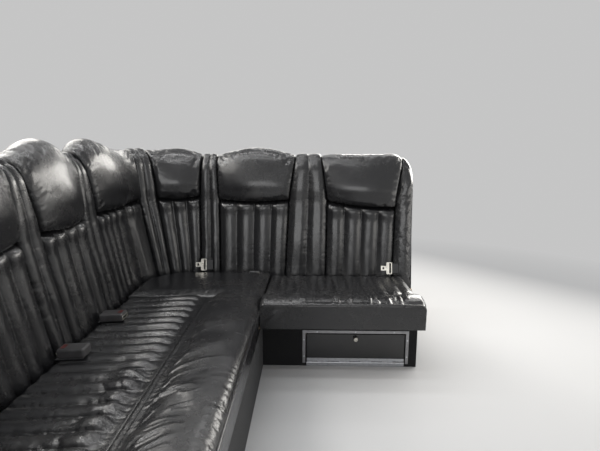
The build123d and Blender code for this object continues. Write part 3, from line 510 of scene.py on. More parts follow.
def spline(points, count):
    """Even samples of a smooth curve through (u, z) points."""
    points = np.asarray(points, float)
    ends = np.concatenate([2 * points[:1] - points[1:2], points, 2 * points[-1:] - points[-2:-1]])
    t = np.linspace(0, 1, 12, endpoint=False)[:, None]
    fine = []
    for k in range(len(points) - 1):
        p0, p1, p2, p3 = ends[k:k + 4]
        fine.append(0.5 * (2 * p1 + (p2 - p0) * t + (2 * p0 - 5 * p1 + 4 * p2 - p3) * t * t
                           + (3 * p1 - p0 - 3 * p2 + p3) * t ** 3))
    fine = np.concatenate(fine + [points[-1:]])
    along = np.concatenate([[0], np.cumsum(np.linalg.norm(np.diff(fine, axis=0), axis=-1))])
    wanted = np.linspace(0, along[-1], count)
    return np.stack([np.interp(wanted, along, fine[:, k]) for k in range(fine.shape[1])], axis=1)


def polyline(points, counts):
    """Points spread evenly on straight pieces, the last point left off."""
    out = []
    for (a, b), n in zip(zip(points[:-1], points[1:]), counts):
        for t in np.linspace(0, 1, n, endpoint=False):
            out.append((a[0] + (b[0] - a[0]) * t, a[1] + (b[1] - a[1]) * t))
    return np.array(out)


def proud(path, out):
    """A (u, z) path moved sideways, away from the board, but not into the wall."""
    du, dz = np.gradient(path[:, 0]), np.gradient(path[:, 1])
    norm = np.hypot(du, dz)
    return np.maximum(path[:, 0] + out * dz / norm, 0.0004), path[:, 1] - out * du / norm


def halves(length):
    """Half the number of mesh steps in a length, so that the stuffing can use every other point."""
    return max(4, int(round(length / (2 * sizes().mesh_step))))


def stations(low, high):
    """A column of places from low to high, an even number of mesh steps apart."""
    return np.linspace(low, high, 2 * halves(high - low) + 1)[:, None]


def across(count, width):
    """A column from 0 to the number of channels in a width, with a point on each seam."""
    return np.linspace(0, count, 2 * halves(width / count) * count + 1)[:, None]


def to_seam(x):
    """Distance to the nearest seam between channels, in channels."""
    return np.minimum(x % 1.0, 1 - x % 1.0)


def on_seam(x):
    return np.abs(x - np.round(x)) < 1e-6


def which_channel(x, count):
    return np.floor(np.clip(x, 0, count - 1e-6))


def mesh_piece(name, points, faces, material):
    """New smooth-shaded object from points and faces, with its normals turned outwards."""
    mesh = bpy.data.meshes.new(name)
    mesh.from_pydata(np.asarray(points).tolist(), [], faces)
    work = bmesh.new()
    work.from_mesh(mesh)
    bmesh.ops.recalc_face_normals(work, faces=work.faces)
    work.to_mesh(mesh)
    work.free()
    mesh.shade_smooth()
    mesh.materials.append(material)
    piece = bpy.data.objects.new(name, mesh)
    bpy.context.scene.collection.objects.link(piece)
    return piece


def loop_solid(name, loops, finish_name="hide", cap_rings=3, cap_bulge=0.0, hearts=None):
    """Closed mesh through a row of closed loops, with ringed caps at both ends that close on their hearts."""
    loops = np.asarray(loops, float)
    rows, around, _ = loops.shape
    grid = np.arange(rows * around).reshape(rows, around)
    ahead = np.roll(grid, -1, axis=1)
    faces = np.stack([grid[:-1], ahead[:-1], ahead[1:], grid[1:]], axis=-1).reshape(-1, 4).tolist()
    points = [loops.reshape(-1, 3)]
    total = rows * around
    for end, row in ((0, 0), (1, rows - 1)):
        ring = loops[row]
        inward = loops[1 if end == 0 else rows - 2].mean(axis=0) - ring.mean(axis=0)
        centre = ring.mean(axis=0) if hearts is None else np.asarray(hearts[end], float)
        out = -inward / max(np.linalg.norm(inward), 1e-9)
        base = row * around
        for c in range(1, cap_rings + 1):
            share = c / (cap_rings + 1)
            points.append(ring + (centre - ring) * share + out * cap_bulge * sin(share * pi / 2))
            for k in range(around):
                n = (k + 1) % around
                quad = (base + k, base + n, total + n, total + k)
                faces.append(quad if end else quad[::-1])
            base = total
            total += around
        points.append((centre + out * cap_bulge)[None])
        for k in range(around):
            triangle = (base + k, base + (k + 1) % around, total)
            faces.append(triangle if end else triangle[::-1])
        total += 1
    return mesh_piece(name, np.concatenate(points), faces, finish(finish_name))


def grid_normals(points):
    """Outward normals of a grid whose columns run round a closed section."""
    across_rows = np.gradient(points, axis=0)
    onward = np.roll(points, -1, axis=1) - np.roll(points, 1, axis=1)
    normal = np.cross(onward, across_rows)
    normal /= np.maximum(np.linalg.norm(normal, axis=-1, keepdims=True), 1e-12)
    outward = points - points.mean(axis=1, keepdims=True)
    return normal if (outward * normal).sum() > 0 else -normal


def doubled(grid):
    """The same field on a grid twice as fine: rows from end to end, columns round and round."""
    wide = np.concatenate([2 * grid[:1] - grid[1:2], grid, 2 * grid[-1:] - grid[-2:-1]])
    rows = np.empty((2 * len(grid) - 1,) + grid.shape[1:])
    rows[::2] = grid
    rows[1::2] = (9 * (wide[1:-2] + wide[2:-1]) - wide[:-3] - wide[3:]) / 16
    ahead = np.roll(rows, -1, axis=1)
    out = np.empty((len(rows), 2 * rows.shape[1], 3))
    out[:, ::2] = rows
    out[:, 1::2] = (9 * (rows + ahead) - np.roll(rows, 1, axis=1) - np.roll(rows, -2, axis=1)) / 16
    return out


def sew_cover(name, node, points, relief, sewn, swell, slack, cap_rings=2, cap_bulge=0.0, hearts=None):
    """Makes a cover, in place of a CAD node, from a grid of points that runs round its section.

    relief is the height of its folds, and sewn is 1 where it is held down. Both leave out the hidden
    side, which has no folds and is sewn all over. The stuffing moves the rest by up to swell.
    """
    hidden = ((0, 0), (0, points.shape[1] - relief.shape[1]))
    relief, sewn = np.pad(relief, hidden), np.pad(sewn, hidden, constant_values=1.0)
    skin = points + relief[..., None] * grid_normals(points)
    piece = loop_solid(name, skin, "hide", cap_rings, cap_bulge, hearts)
    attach(piece, ROOT)
    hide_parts(node)
    COVERS.append((name, points, sewn, swell, slack))


# Back

def channels_cover(name, start, end, count, seam, seed, grooves):
    """Sewn upright channels between the deck and a pillow."""
    size = sizes()
    width = end[0] - start[0]
    x = across(count, width)
    share = np.interp(x, np.arange(count + 1), grooves)
    top = seam[0] + (seam[1] - seam[0]) * share - 0.0015
    tall = 2 * halves(seam[0] - COVER_LOW)
    z = COVER_LOW + (top - COVER_LOW) * np.linspace(0, 1, tall)[None, :]
    fall = top - z
    number = which_channel(x, count)
    puff = 1 + 0.55 * hump(fall, 0.034, 0.028)
    tuck = 1 - np.exp(-(fall / 0.012) ** 1.5)
    fat = 1 + 0.12 * cloud(number * 3.1, z * 0 + 0.5, seed + 3)
    rise = size.channel_rise * scallop(x * INSIDE) * puff * fat
    edge = np.minimum(share, 1 - share) * width
    u = face_u(z) + rise * tuck - SEAM_GROOVE * fading(edge, 0.004) - 0.020 * (1 - tuck)
    wander = 0.0018 * cloud(x, z * 7, seed) * np.sin(pi * share)
    skin = place(between(start, end, share, z) + wander, u, z)
    back_z = COVER_LOW + (top - COVER_LOW) * np.linspace(1, 0, 8)[None, :]
    back = place(between(start, end, share, back_z), board_u(back_z) + CLEAR, back_z)
    pucker = size.pucker * 0.45 * folds(number * 5.3 + z * 0, z * 40, seed + 11) * np.exp(-to_seam(x) * 9)
    gather = size.pucker * 0.9 * folds(x * 2.2, z * 5, seed + 17) * fading(fall, 0.05)
    relief = -(pucker + gather) * tuck * smooth_step((z - COVER_LOW) / 0.02)
    sewn = np.ones(relief.shape)
    sewn[:, 2:tall - 4] = on_seam(x)
    sew_cover(f"back_channels_{name}", f"channels_{name}", np.concatenate([skin, back], axis=1), relief, sewn,
              swell=0.0030, slack=0.12, cap_rings=1)


def shoulder_top(distance, top):
    """Height of the rounded shoulder at a distance in from an end of the back."""
    inside = np.clip(SHOULDER - distance, 0.0, SHOULDER)
    return top + 0.010 - (SHOULDER - np.sqrt(SHOULDER ** 2 - inside ** 2))


def elbows(start, end, first_top, last_top):
    """Points over the board's edge at both ends of a cell, from which its whole section can be seen."""
    out = []
    for share, top in ((0.0, first_top), (1.0, last_top)):
        sill = min(BOARD_TOP, top - 0.013)
        z = sill + (top - sill) * 0.5
        out.append(place(between(start, end, share, np.array(z)), board_u(sill) + 0.010, z))
    return out


def pillow_loop(fullness, seam, top, front_count):
    """(u, z) loop of a pillow: front skin from the lower seam over the crest, then the back."""
    def mix(flat, full):
        return flat + (full - flat) * fullness

    height = top - seam
    quarter, belly = seam + height * 0.17, seam + height * 0.40
    rear = min(BOARD_TOP + mix(0.008, 0.034), top - 0.008)
    sill = min(BOARD_TOP + CLEAR, top - 0.013)
    front = spline([
        (face_u(seam) - 0.016, seam + 0.0005),
        (face_u(seam) + mix(0.004, 0.014), seam + mix(0.001, -0.008)),
        (face_u(seam) + mix(0.014, 0.034), seam + mix(0.009, -0.002)),
        (face_u(quarter) + mix(0.020, 0.047), quarter),
        (face_u(belly) + mix(0.023, 0.053), belly),
        (mix(0.102, 0.116), top - mix(0.030, 0.042)),
        (mix(0.057, 0.064), top),
        (mix(0.022, 0.020), top - mix(0.006, 0.018)),
        (0.0005, rear),
    ], front_count)
    back = polyline([(0.0, rear - 0.001), (0.0, sill), (board_u(sill) + CLEAR, sill),
                     (board_u(seam) + CLEAR, seam + 0.0006), (face_u(seam) - 0.0165, seam + 0.0006)],
                    (3, 4, 11, 4))
    return np.concatenate([front, back])


def pillow_cover(name, start, end, seam, crown, seed):
    """Puffed pillow over a set of channels, wrapped over the top of the board."""
    pucker = sizes().pucker
    span = end[0] - start[0]
    share = np.linspace(0, 1, 2 * halves(span) + 1)
    fullness = np.sin(pi * share) ** 1.05
    if isinstance(crown, tuple):
        crest = np.polyval(np.polyfit((0, 0.2, 0.5, 0.8, 1), (start[4], *crown, end[4]), 4), share)
    else:
        crest = (start[4] + (end[4] - start[4]) * share) * (1 - fullness) + crown * fullness
    if name == LAST_PILLOW:
        outer = BACK_RUN - between(start, end, share, crest)
        crest = np.minimum(crest, shoulder_top(outer, CROSS_VALLEY))
    count = 2 * halves(0.46)
    t = np.linspace(0, 1, count)
    rows = []
    relief = np.zeros((len(share), count))
    for k, (s, full, top) in enumerate(zip(share, fullness, crest)):
        loop = pillow_loop(full, seam[0] + (seam[1] - seam[0]) * s, top, count)
        rows.append(place(between(start, end, s, loop[:, 1]), np.maximum(loop[:, 0], 0.0), loop[:, 1]))
        edge = min(s, 1 - s) * span
        rays = pucker * 0.9 * folds(t * 13, s * 3, seed) * fading(edge, 0.035)
        hem = pucker * 0.8 * folds(s * span / 0.019, t * 3, seed + 5) * fading(t, 0.07)
        slack = 0.0020 * cloud(s * span / 0.08, t * 4, seed + 9) * min(1, edge / 0.03) * np.sin(pi * t)
        groove = 0.007 * fading(edge, 0.0040) * smooth_step(t * 12)
        relief[k] = (slack - rays - hem) * np.sin(pi * np.clip(t * 1.08, 0, 1)) - groove
    relief[:, -6:] *= np.linspace(1, 0, 6)
    sewn = np.ones(relief.shape)
    sewn[1:-1, 8:int(count * HELD_FROM)] = 0.0
    sew_cover(f"back_pillow_{name}", f"pillow_{name}", np.array(rows), relief, sewn,
              swell=0.0055, slack=0.7, hearts=elbows(start, end, crest[0], crest[-1]))


def hooked_back(rear, sill):
    """(u, z) path behind the leather: from the wall over the board's edge and down its front."""
    path = polyline([(0.0, rear), (0.0, sill), (board_u(BOARD_TOP) + CLEAR, sill),
                     (board_u(COVER_LOW) + CLEAR, COVER_LOW)], (2, 3, 10))
    return np.concatenate([path, [(board_u(COVER_LOW) + CLEAR, COVER_LOW)]])


def band_cover(name, start, end, count, seam, valley, seed):
    """Narrow band of two channels between pillows, hooked over the board."""
    size = sizes()
    low = COVER_LOW
    tall = 2 * halves(valley - low + 0.12)
    path = spline([(face_u(low), low), (face_u(0.45), 0.45), (face_u(seam), seam),
                   (face_u(valley - 0.05) + 0.003, valley - 0.05), (face_u(valley) - 0.009, valley - 0.018),
                   (0.062, valley - 0.002), (0.036, valley + 0.001), (0.012, valley - 0.012),
                   (0.0005, BOARD_TOP + 0.006)], tall)
    back = hooked_back(BOARD_TOP + 0.005, BOARD_TOP + CLEAR)
    width = end[0] - start[0]
    x = across(count, width)
    z = path[None, :, 1]
    t = np.linspace(0, 1, tall)[None, :]
    number = which_channel(x, count)
    high = smooth_step((z - seam + 0.02) / 0.08)
    rise = size.band_rise * (1 - 0.30 * high) * scallop(x * INSIDE, 0.55)
    rise = rise * (1 + 0.18 * cloud(z * 9, number * 2.7, seed + 4))
    rise = rise + 0.010 * high * smooth_step((valley - 0.01 - z) / 0.06)
    ease = smooth_step(np.minimum(t, 1 - t) * 14)
    edge = np.minimum(x, count - x) / count * width
    u, z_out = proud(path, (rise - SEAM_GROOVE * fading(edge, 0.0035)) * ease)
    skin = place(between(start, end, x / count, z_out), u, z_out)
    rear = place(between(start, end, x / count, back[None, :, 1]), back[None, :, 0], back[None, :, 1])
    wrinkle = size.pucker * 0.8 * folds(z * 34, number * 3.7 + x, seed) * np.exp(-to_seam(x) * 5)
    sewn = np.ones((len(x), tall))
    sewn[:, 3:int(tall * HELD_FROM)] = on_seam(x)
    sew_cover(f"back_band_{name}", f"band_{name}", np.concatenate([skin, rear], axis=1), -wrinkle * ease, sewn,
              swell=0.003, slack=0.15, cap_rings=1, hearts=elbows(start, end, valley, valley))


def bolster_cover(name, start, end, seam, valley, seed):
    """Padded end of the back with a rounded shoulder and a soft outer edge."""
    size = sizes()
    at_start = start[0] < 0.01
    low, soft = COVER_LOW, 0.030
    width = end[0] - start[0]
    shares = np.linspace(0, 1, 2 * halves(width) + 1)
    tall = 2 * halves(valley - low + 0.12)
    t = np.linspace(0, 1, tall)
    ease = smooth_step(np.minimum(t, 1 - t) * 12)
    rows, tops = [], []
    relief = np.zeros((len(shares), tall))
    for k, share in enumerate(shares):
        top_run = float(between(start, end, share, np.array(valley)))
        top = float(shoulder_top(top_run if at_start else BACK_RUN - top_run, valley))
        tops.append(top)
        bend = min(seam, top - 0.12)
        path = spline([(face_u(low), low), (face_u(0.45), 0.45), (face_u(bend), bend),
                       (face_u(top - 0.06) + 0.002, top - 0.06), (face_u(top) - 0.012, top - 0.020),
                       (0.062, top - 0.003), (0.038, top), (0.014, top - 0.012),
                       (0.0005, min(top - 0.02, BOARD_TOP + 0.012))], tall)
        outer = share if at_start else 1 - share
        sink = max(0.0, soft - outer * width)
        back_off = soft - np.sqrt(max(soft ** 2 - sink ** 2, 0.0))
        crown = size.band_rise * 1.1 * scallop(0.5 + 0.5 * outer * 0.999)
        u, z = proud(path, (crown - back_off - SEAM_GROOVE * fading((1 - outer) * width, 0.004)) * ease)
        sill = min(BOARD_TOP + CLEAR, top - 0.03)
        back = hooked_back(sill + 0.002, sill)
        u, z = np.concatenate([u, back[:, 0]]), np.concatenate([z, back[:, 1]])
        rows.append(place(between(start, end, share, z), u, z))
        relief[k] = -size.pucker * 0.5 * folds(path[:, 1] * 20, outer * 2.5, seed) * ease
    sewn = np.ones(relief.shape)
    sewn[1:-1, 3:int(tall * HELD_FROM)] = 0.0
    sew_cover(f"back_{name}", name, np.array(rows), relief, sewn,
              swell=0.005, slack=0.5, cap_rings=4, hearts=elbows(start, end, tops[0], tops[-1]))


def back_cells(*kinds):
    """Each cell of the back of some kinds, with its number and the upright seams on both sides."""
    lines = seam_lines()
    for number, cell in enumerate(CELLS):
        if cell[0] in kinds:
            yield number, cell, lines[number], lines[number + 1]


class LOUNGE_OT_channels(bpy.types.Operator):
    """Adds the sewn channels of the back"""
    bl_idname = "lounge.channels"
    bl_label = "Back channels"

    def execute(self, context):
        for number, (_, name, _, count, seam, _, _), start, end in back_cells("seat"):
            grooves = LEAD_GROOVES if name == LEAD_PILLOW else np.linspace(0, 1, count + 1)
            channels_cover(name, start, end, count, seam, 100 + number, grooves)
        return {"FINISHED"}


class LOUNGE_OT_pillows(bpy.types.Operator):
    """Adds the puffed pillows along the top of the back"""
    bl_idname = "lounge.pillows"
    bl_label = "Back pillows"

    def execute(self, context):
        for number, (_, name, _, _, seam, _, crown), start, end in back_cells("seat"):
            pillow_cover(name, start, end, seam, crown, 200 + number)
        return {"FINISHED"}


class LOUNGE_OT_bands(bpy.types.Operator):
    """Adds the narrow bands between the pillows and the padded ends of the back"""
    bl_idname = "lounge.bands"
    bl_label = "Bands and end bolsters"

    def execute(self, context):
        for number, (kind, name, _, count, seam, valley, _), start, end in back_cells("band", "end"):
            if kind == "band":
                band_cover(name, start, end, count, seam, valley, 300 + number)
            else:
                bolster_cover(name, start, end, seam, valley, 400 + number)
        return {"FINISHED"}


# Cushions

def pleated_cover(name, node, at, low_v, high_v, seam_u, end_u, rise, seed, crumple):
    """Pleated cushion: v runs across the pleats, u from the back to the seam; at(u, v, z) places a point."""
    pucker = sizes().pucker
    pleats = round((high_v - low_v) / PLEAT_PITCH)
    x = across(pleats, high_v - low_v)
    v = low_v + x * ((high_v - low_v) / pleats)
    deep = 2 * halves(seam_u - FOOT_U)
    u = np.linspace(FOOT_U, seam_u - CLEAR, deep)[None, :]
    number = which_channel(x, pleats)
    near = crumple(v)
    end = end_u - 0.010 * np.abs(cloud(number * 1.9, 0.5, seed + 1))
    ends = smooth_step((end - u) / 0.034) ** 0.75 * smooth_step((u - FOOT_U) / 0.018 + 0.15)
    puffed = 1 + 0.55 * near * hump(end - u, 0.050, 0.035)
    fat = 1 + 0.14 * cloud(number * 2.3, u * 5, seed + 2)
    inward = (u - FOOT_U) / (seam_u - FOOT_U)
    top = PLEAT_FOOT + PLEAT_CLIMB * inward + rise * scallop(x * INSIDE) * fat * ends * puffed
    edge = np.minimum(v - low_v, high_v - v)
    top = top - 0.020 * (1 - smooth_step(edge / 0.022 + 0.25)) ** 2
    rim = polyline([(seam_u - CLEAR, 0.300), (seam_u - CLEAR, COVER_LOW), (FOOT_U, COVER_LOW), (FOOT_U, 0.280)],
                   (4, 8, 4))
    points = np.concatenate([at(u, v, top), at(rim[None, :, 0], v, rim[None, :, 1])], axis=1)
    across_seam = (0.25 + 0.75 * near) * folds(u * 46, number * 4.1, seed + 5) * np.exp(-to_seam(x) * 7)
    ripple = 2.0 * near * folds(u * 20 + x * 0.8, x * 1.5, seed + 8) * ends * smooth_step((u - 0.30) / 0.1)
    gather = (0.4 + 0.9 * near) * folds(v / 0.019, u * 14, seed + 9) * fading(np.abs(end - u - 0.004), 0.020)
    relief = -pucker * (across_seam + ripple + gather)
    relief[:, :2] = 0
    relief[:, -2:] = 0
    sewn = np.ones(relief.shape)
    sewn[:, 4:int(deep * (end_u - FOOT_U + 0.004) / (seam_u - FOOT_U))] = on_seam(x)
    sew_cover(name, node, points, relief, sewn, swell=0.0035, slack=0.15, cap_rings=3)


def near_share(v):
    """How crumpled the side seat is at a place along it: 1 at its near part, little at the far end."""
    return 0.12 + 0.88 * smooth_step((0.22 - v) / 0.38)


def even_share(v):
    """The same for the cross seat, which is little crumpled all over."""
    return 0.25 + 0 * v


def side_roll_folds(u, v, z):
    """Heights of the side roll's folds: swept ones by the seam, soft ones on the crown, ticks on the nose."""
    near = near_share(v)
    inside = np.maximum(u - SIDE_SEAT_SEAM - 0.030, 0.0)
    swept = v - 0.085 * (1 - fading(inside, 0.060))
    warp = 0.012 * cloud(v * 8, u * 14, 571)
    big = folds((swept + warp) / 0.060, inside * 8 + v * 2.0, 572)
    small = folds((swept + warp * 0.6) / 0.024, inside * 20 + 3, 573)
    climb = smooth_step((u - SIDE_SEAT_SEAM - 0.020) / 0.022)
    fade = np.exp(-np.maximum(inside - 0.022, 0) / (0.026 + 0.034 * near))
    crumple = climb * fade * (0.0125 * (big - 0.30) * (0.30 + 0.70 * near)
                              + 0.0050 * (small - 0.25) * (0.45 + 0.55 * near))
    over = np.clip((u - SIDE_SEAT_SEAM) / (SIDE_SEAT_FRONT - SIDE_SEAT_SEAM), 0, 1)
    broad = 0.0030 * cloud(v / 0.09, u * 14, 574) * np.sin(pi * over)
    nose = hump(z, 0.318, 0.014) * smooth_step((u - SIDE_SEAT_FRONT + 0.050) / 0.02)
    ticks = (0.0042 * folds(v / 0.0125, z * 26, 575) + 0.0020 * folds(v / 0.0070, z * 80, 576)) * nose
    ticks = ticks * smooth_step((0.10 - v) / 0.5)
    wobble = 0.0026 * cloud(v * 20, 0.5, 578)
    lines = 0.0016 * hump(u - SIDE_SEAT_SEAM - wobble, 0.015, 0.0020)
    fine = 0.0011 * folds(v / 0.011, u * 50, 579) * hump(u - SIDE_SEAT_SEAM, 0.010, 0.016)
    lines = lines + fine * smooth_step((u - SIDE_SEAT_SEAM) / 0.004)
    drape = 0.0016 * cloud(v / 0.11, z * 9, 577) * smooth_step((0.290 - z) / 0.05)
    return crumple + broad - ticks - lines + drape


def side_roll():
    """Front roll of the side seat: dark valley, swept folds, smooth crown, puckered nose and valance."""
    low_v, high_v = NEAR, SIDE_PLEATS_END
    seam, front = SIDE_SEAT_SEAM, SIDE_SEAT_FRONT
    count = 2 * halves(0.40)
    path = spline([(seam + CLEAR, 0.302), (seam + 0.003, 0.3070), (seam + 0.016, 0.3085),
                   (seam + 0.031, 0.311), (seam + 0.047, 0.322), (seam + 0.075, 0.3325),
                   (seam + 0.120, 0.3365), (front - 0.062, 0.337), (front - 0.030, 0.3325),
                   (front - 0.010, 0.320), (front - 0.0005, 0.300), (front - 0.001, 0.27),
                   (front - 0.002, 0.235), (front - 0.003, VALANCE_LOW)], count)
    inner = front - VALANCE
    back = polyline([(inner, VALANCE_LOW), (inner, COVER_LOW), (seam + CLEAR, COVER_LOW),
                     (seam + CLEAR, 0.296)], (4, 12, 6))
    v = stations(low_v, high_v)
    u, z = path[None, :, 0], path[None, :, 1]
    ends = np.minimum(v - low_v, high_v - v)
    top_z = np.where(z > 0.26, z - 0.016 * np.clip(1 - ends / 0.02, 0, 1) ** 2, z + 0 * v)
    floor_z = np.where(v > CROSS_FRONT_Y, DECK_TOP + 2 * CLEAR, 0.0)
    skin = side_at(u + 0 * v, v, np.maximum(top_z, floor_z))
    under = side_at(back[None, :, 0], v, np.maximum(back[None, :, 1], floor_z))
    relief = side_roll_folds(u, v, z)
    relief[:, :2] = 0
    relief[:, -3:] = 0
    sewn = np.ones(relief.shape)
    sewn[1:-1, int(count * 0.09):int(count * 0.60)] = 0.0
    sew_cover("side_seat_roll", "side_front_roll", np.concatenate([skin, under], axis=1), relief, sewn,
              swell=0.005, slack=0.6, cap_rings=4,
              hearts=[side_at(front - 0.007, v_end, 0.26) for v_end in (low_v, high_v)])


def cross_roll_folds(u, v, z):
    """Heights of the cross roll's folds: the ruche, its end seam, and the fascia's creases."""
    from_seam = u - CROSS_SEAT_SEAM
    phase = np.interp(v, (0.0, 0.185, 0.36, 0.5835), (0.0, 4.0, 9.2, 22.0))
    gathered = smooth_step((v - 0.175) / 0.03) * smooth_step((ROLL_END_SEAM_X - 0.003 - v) / 0.008)
    zone = smooth_step((from_seam - 0.004) / 0.02) * smooth_step((CROSS_SEAT_FRONT - 0.008 - u) / 0.02)
    zone = zone * (z > 0.31)
    wave = folds(phase + 0.25 * cloud(u * 30, v * 20, 581), from_seam * 5, 582)
    ruche = gathered * zone * 0.0105 * (wave - 0.40)
    over = np.clip(from_seam / 0.16, 0, 1)
    soft = 0.0020 * cloud(v / 0.10, u * 12, 583) * np.sin(pi * over) * (z > 0.31)
    plain_end = smooth_step((v - ROLL_END_SEAM_X - 0.002) / 0.02) * zone * 0.003
    end_seam = 0.0045 * hump(v, ROLL_END_SEAM_X, 0.0030) * smooth_step((z - 0.318) / 0.006)
    fascia = 0.0040 * hump(v - (z - 0.28) * 0.9, 0.075, 0.016) * hump(z, 0.283, 0.020)
    fascia = fascia + 0.0010 * cloud(v / 0.13, z * 8, 585) * smooth_step((0.310 - z) / 0.03)
    return ruche + soft + plain_end - end_seam + np.where(u > CROSS_SEAT_FRONT - 0.012, fascia, 0.0)


def cross_roll():
    """Front roll of the cross seat: ruched top, plain ends, crisp edge and a flat fascia."""
    low_v, high_v = SIDE_FRONT_X + CLEAR, CROSS_END_X - CLEAR
    seam, front = CROSS_SEAT_SEAM, CROSS_SEAT_FRONT
    count = 2 * halves(0.28)
    path = spline([(seam + CLEAR, 0.300), (seam + 0.004, 0.309), (seam + 0.030, 0.323), (seam + 0.078, 0.3355),
                   (front - 0.042, 0.3345), (front - 0.014, 0.3280), (front - 0.004, 0.3240),
                   (front - 0.0005, 0.3170), (front - 0.001, 0.28), (front - 0.0015, 0.25),
                   (front - 0.003, COVER_LOW)], count)
    back = polyline([(front - 0.004, COVER_LOW), (seam + CLEAR, COVER_LOW), (seam + CLEAR, 0.298)], (14, 6))
    v = stations(low_v, high_v)
    u, z = path[None, :, 0], path[None, :, 1]
    ends = np.minimum(v - low_v, high_v - v)
    top_z = np.where(z > 0.27, z - 0.014 * np.clip(1 - ends / 0.016, 0, 1) ** 2, z + 0 * v)
    skin, under = cross_at(u + 0 * v, v, top_z), cross_at(back[None, :, 0], v, back[None, :, 1])
    relief = cross_roll_folds(u, v, z)
    relief[:, :2] = 0
    relief[:, -3:] = 0
    sewn = np.ones(relief.shape)
    sewn[1:-1, int(count * 0.06):int(count * 0.56)] = 0.0
    sewn[np.abs(v[:, 0] - ROLL_END_SEAM_X) < 0.004] = 1.0
    sew_cover("cross_seat_roll", "cross_front_roll", np.concatenate([skin, under], axis=1), relief, sewn,
              swell=0.004, slack=0.4, cap_rings=4, cap_bulge=0.002)


def corner_pad():
    """Plain cushion in the corner, its rear corner rounded to the back."""
    low_x, high_x = LEFT + FOOT_U, SIDE_FRONT_X - CLEAR
    low_y, high_y = SIDE_PLEATS_END + CLEAR, FRONT - FOOT_U
    radius = CORNER_RADIUS - FOOT_U
    turn = np.linspace(0, pi / 2, 2 * halves(radius) + 1)
    x = np.concatenate([(low_x + radius * (1 - np.cos(turn)))[:, None], stations(low_x + radius, high_x)[1:]])
    reach = np.sqrt(np.clip(radius ** 2 - np.clip(low_x + radius - x, 0, radius) ** 2, 0, None))
    far = high_y - radius + reach
    deep = 2 * halves(high_y - low_y)
    y = low_y + (far - low_y) * np.linspace(0, 1, deep)[None, :]
    edge = np.minimum(np.minimum(x - low_x, high_x - x), np.minimum(y - low_y, far - y))
    rise = 1 - (1 - np.clip(edge / 0.030, 0, 1)) ** 2.2
    rim_z = np.concatenate([np.linspace(0.294, COVER_LOW, 4, endpoint=False), np.full(8, COVER_LOW),
                            np.linspace(COVER_LOW, 0.29, 4)])
    rim_share = np.concatenate([np.ones(4), np.linspace(1, 0, 8), np.zeros(4)])
    grids = [(y, 0.2985 + 0.0135 * rise), (low_y + (far - low_y) * rim_share[None, :], rim_z[None, :])]
    points = np.concatenate([np.stack(np.broadcast_arrays(x, *grid), axis=-1) for grid in grids], axis=1)
    creases = sizes().pucker * folds(x * 34, y * 22, 543) * fading(edge, 0.022)
    relief = (0.0020 * cloud(x * 10, y * 10, 540) - creases) * rise
    sewn = np.ones(relief.shape)
    sewn[2:-2, 4:-4] = 0.0
    sew_cover("corner_seat", "corner_cushion", points, relief, sewn, swell=0.005, slack=0.6)


def piping(name, points):
    """Round welt sewn along an edge, its path a row of points."""
    radius = sizes().pipe_radius
    path = np.asarray(points, float)
    tangent = np.gradient(path, axis=0)
    tangent /= np.linalg.norm(tangent, axis=1, keepdims=True)
    sideways = np.cross(tangent, (0.0, 0.0, 1.0))
    sideways /= np.linalg.norm(sideways, axis=1, keepdims=True)
    upward = np.cross(sideways, tangent)
    around = np.linspace(0, 2 * pi, 12, endpoint=False)[None, :, None]
    size = radius * (1 + 0.10 * cloud(np.arange(len(path)) * 0.9, 0.5, 590))[:, None, None]
    loops = path[:, None] + size * (np.cos(around) * sideways[:, None] + np.sin(around) * upward[:, None])
    piece = loop_solid(name, loops, "piping", 1, radius * 0.5)
    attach(piece, ROOT)


class LOUNGE_OT_cushions(bpy.types.Operator):
    """Adds the pleated cushions, the plain corner cushion, the front rolls and their piping"""
    bl_idname = "lounge.cushions"
    bl_label = "Seat cushions"

    def execute(self, context):
        rise = sizes().pleat_rise
        pleated_cover("side_seat_pleats", "side_cushion", side_at, NEAR, SIDE_PLEATS_END, SIDE_SEAT_SEAM,
                      PLEAT_END_U, rise, 500, near_share)
        pleated_cover("cross_seat_pleats", "cross_cushion", cross_at, SIDE_FRONT_X + CLEAR, CROSS_END_X - CLEAR,
                      CROSS_SEAT_SEAM, CROSS_SEAT_SEAM - 0.006, rise * 0.45, 520, even_share)
        corner_pad()
        side_roll()
        cross_roll()
        x = np.arange(SIDE_FRONT_X + 0.006, CROSS_END_X - 0.006, 0.006)
        sag = 0.0012 * cloud(x * 9, 0.5, 591)
        dip = 0.010 * np.clip(1 - np.minimum(x - x[0], x[-1] - x) / 0.014, 0, 1) ** 2
        piping("cross_seat_piping", np.stack([x, CROSS_FRONT_Y - 0.0010 + sag, 0.3250 - dip + sag], axis=1))
        y = np.arange(NEAR + 0.008, CROSS_FRONT_Y - 0.006, 0.006)
        sag = 0.0012 * cloud(y * 9, 0.5, 592)
        piping("side_seat_piping", np.stack([SIDE_FRONT_X + 0.0005 + sag * 0.5, y, 0.2985 + sag], axis=1))
        return {"FINISHED"}


def vertices_of(mesh):
    out = np.zeros(len(mesh.vertices) * 3)
    mesh.vertices.foreach_get("co", out)
    return out.reshape(-1, 3)


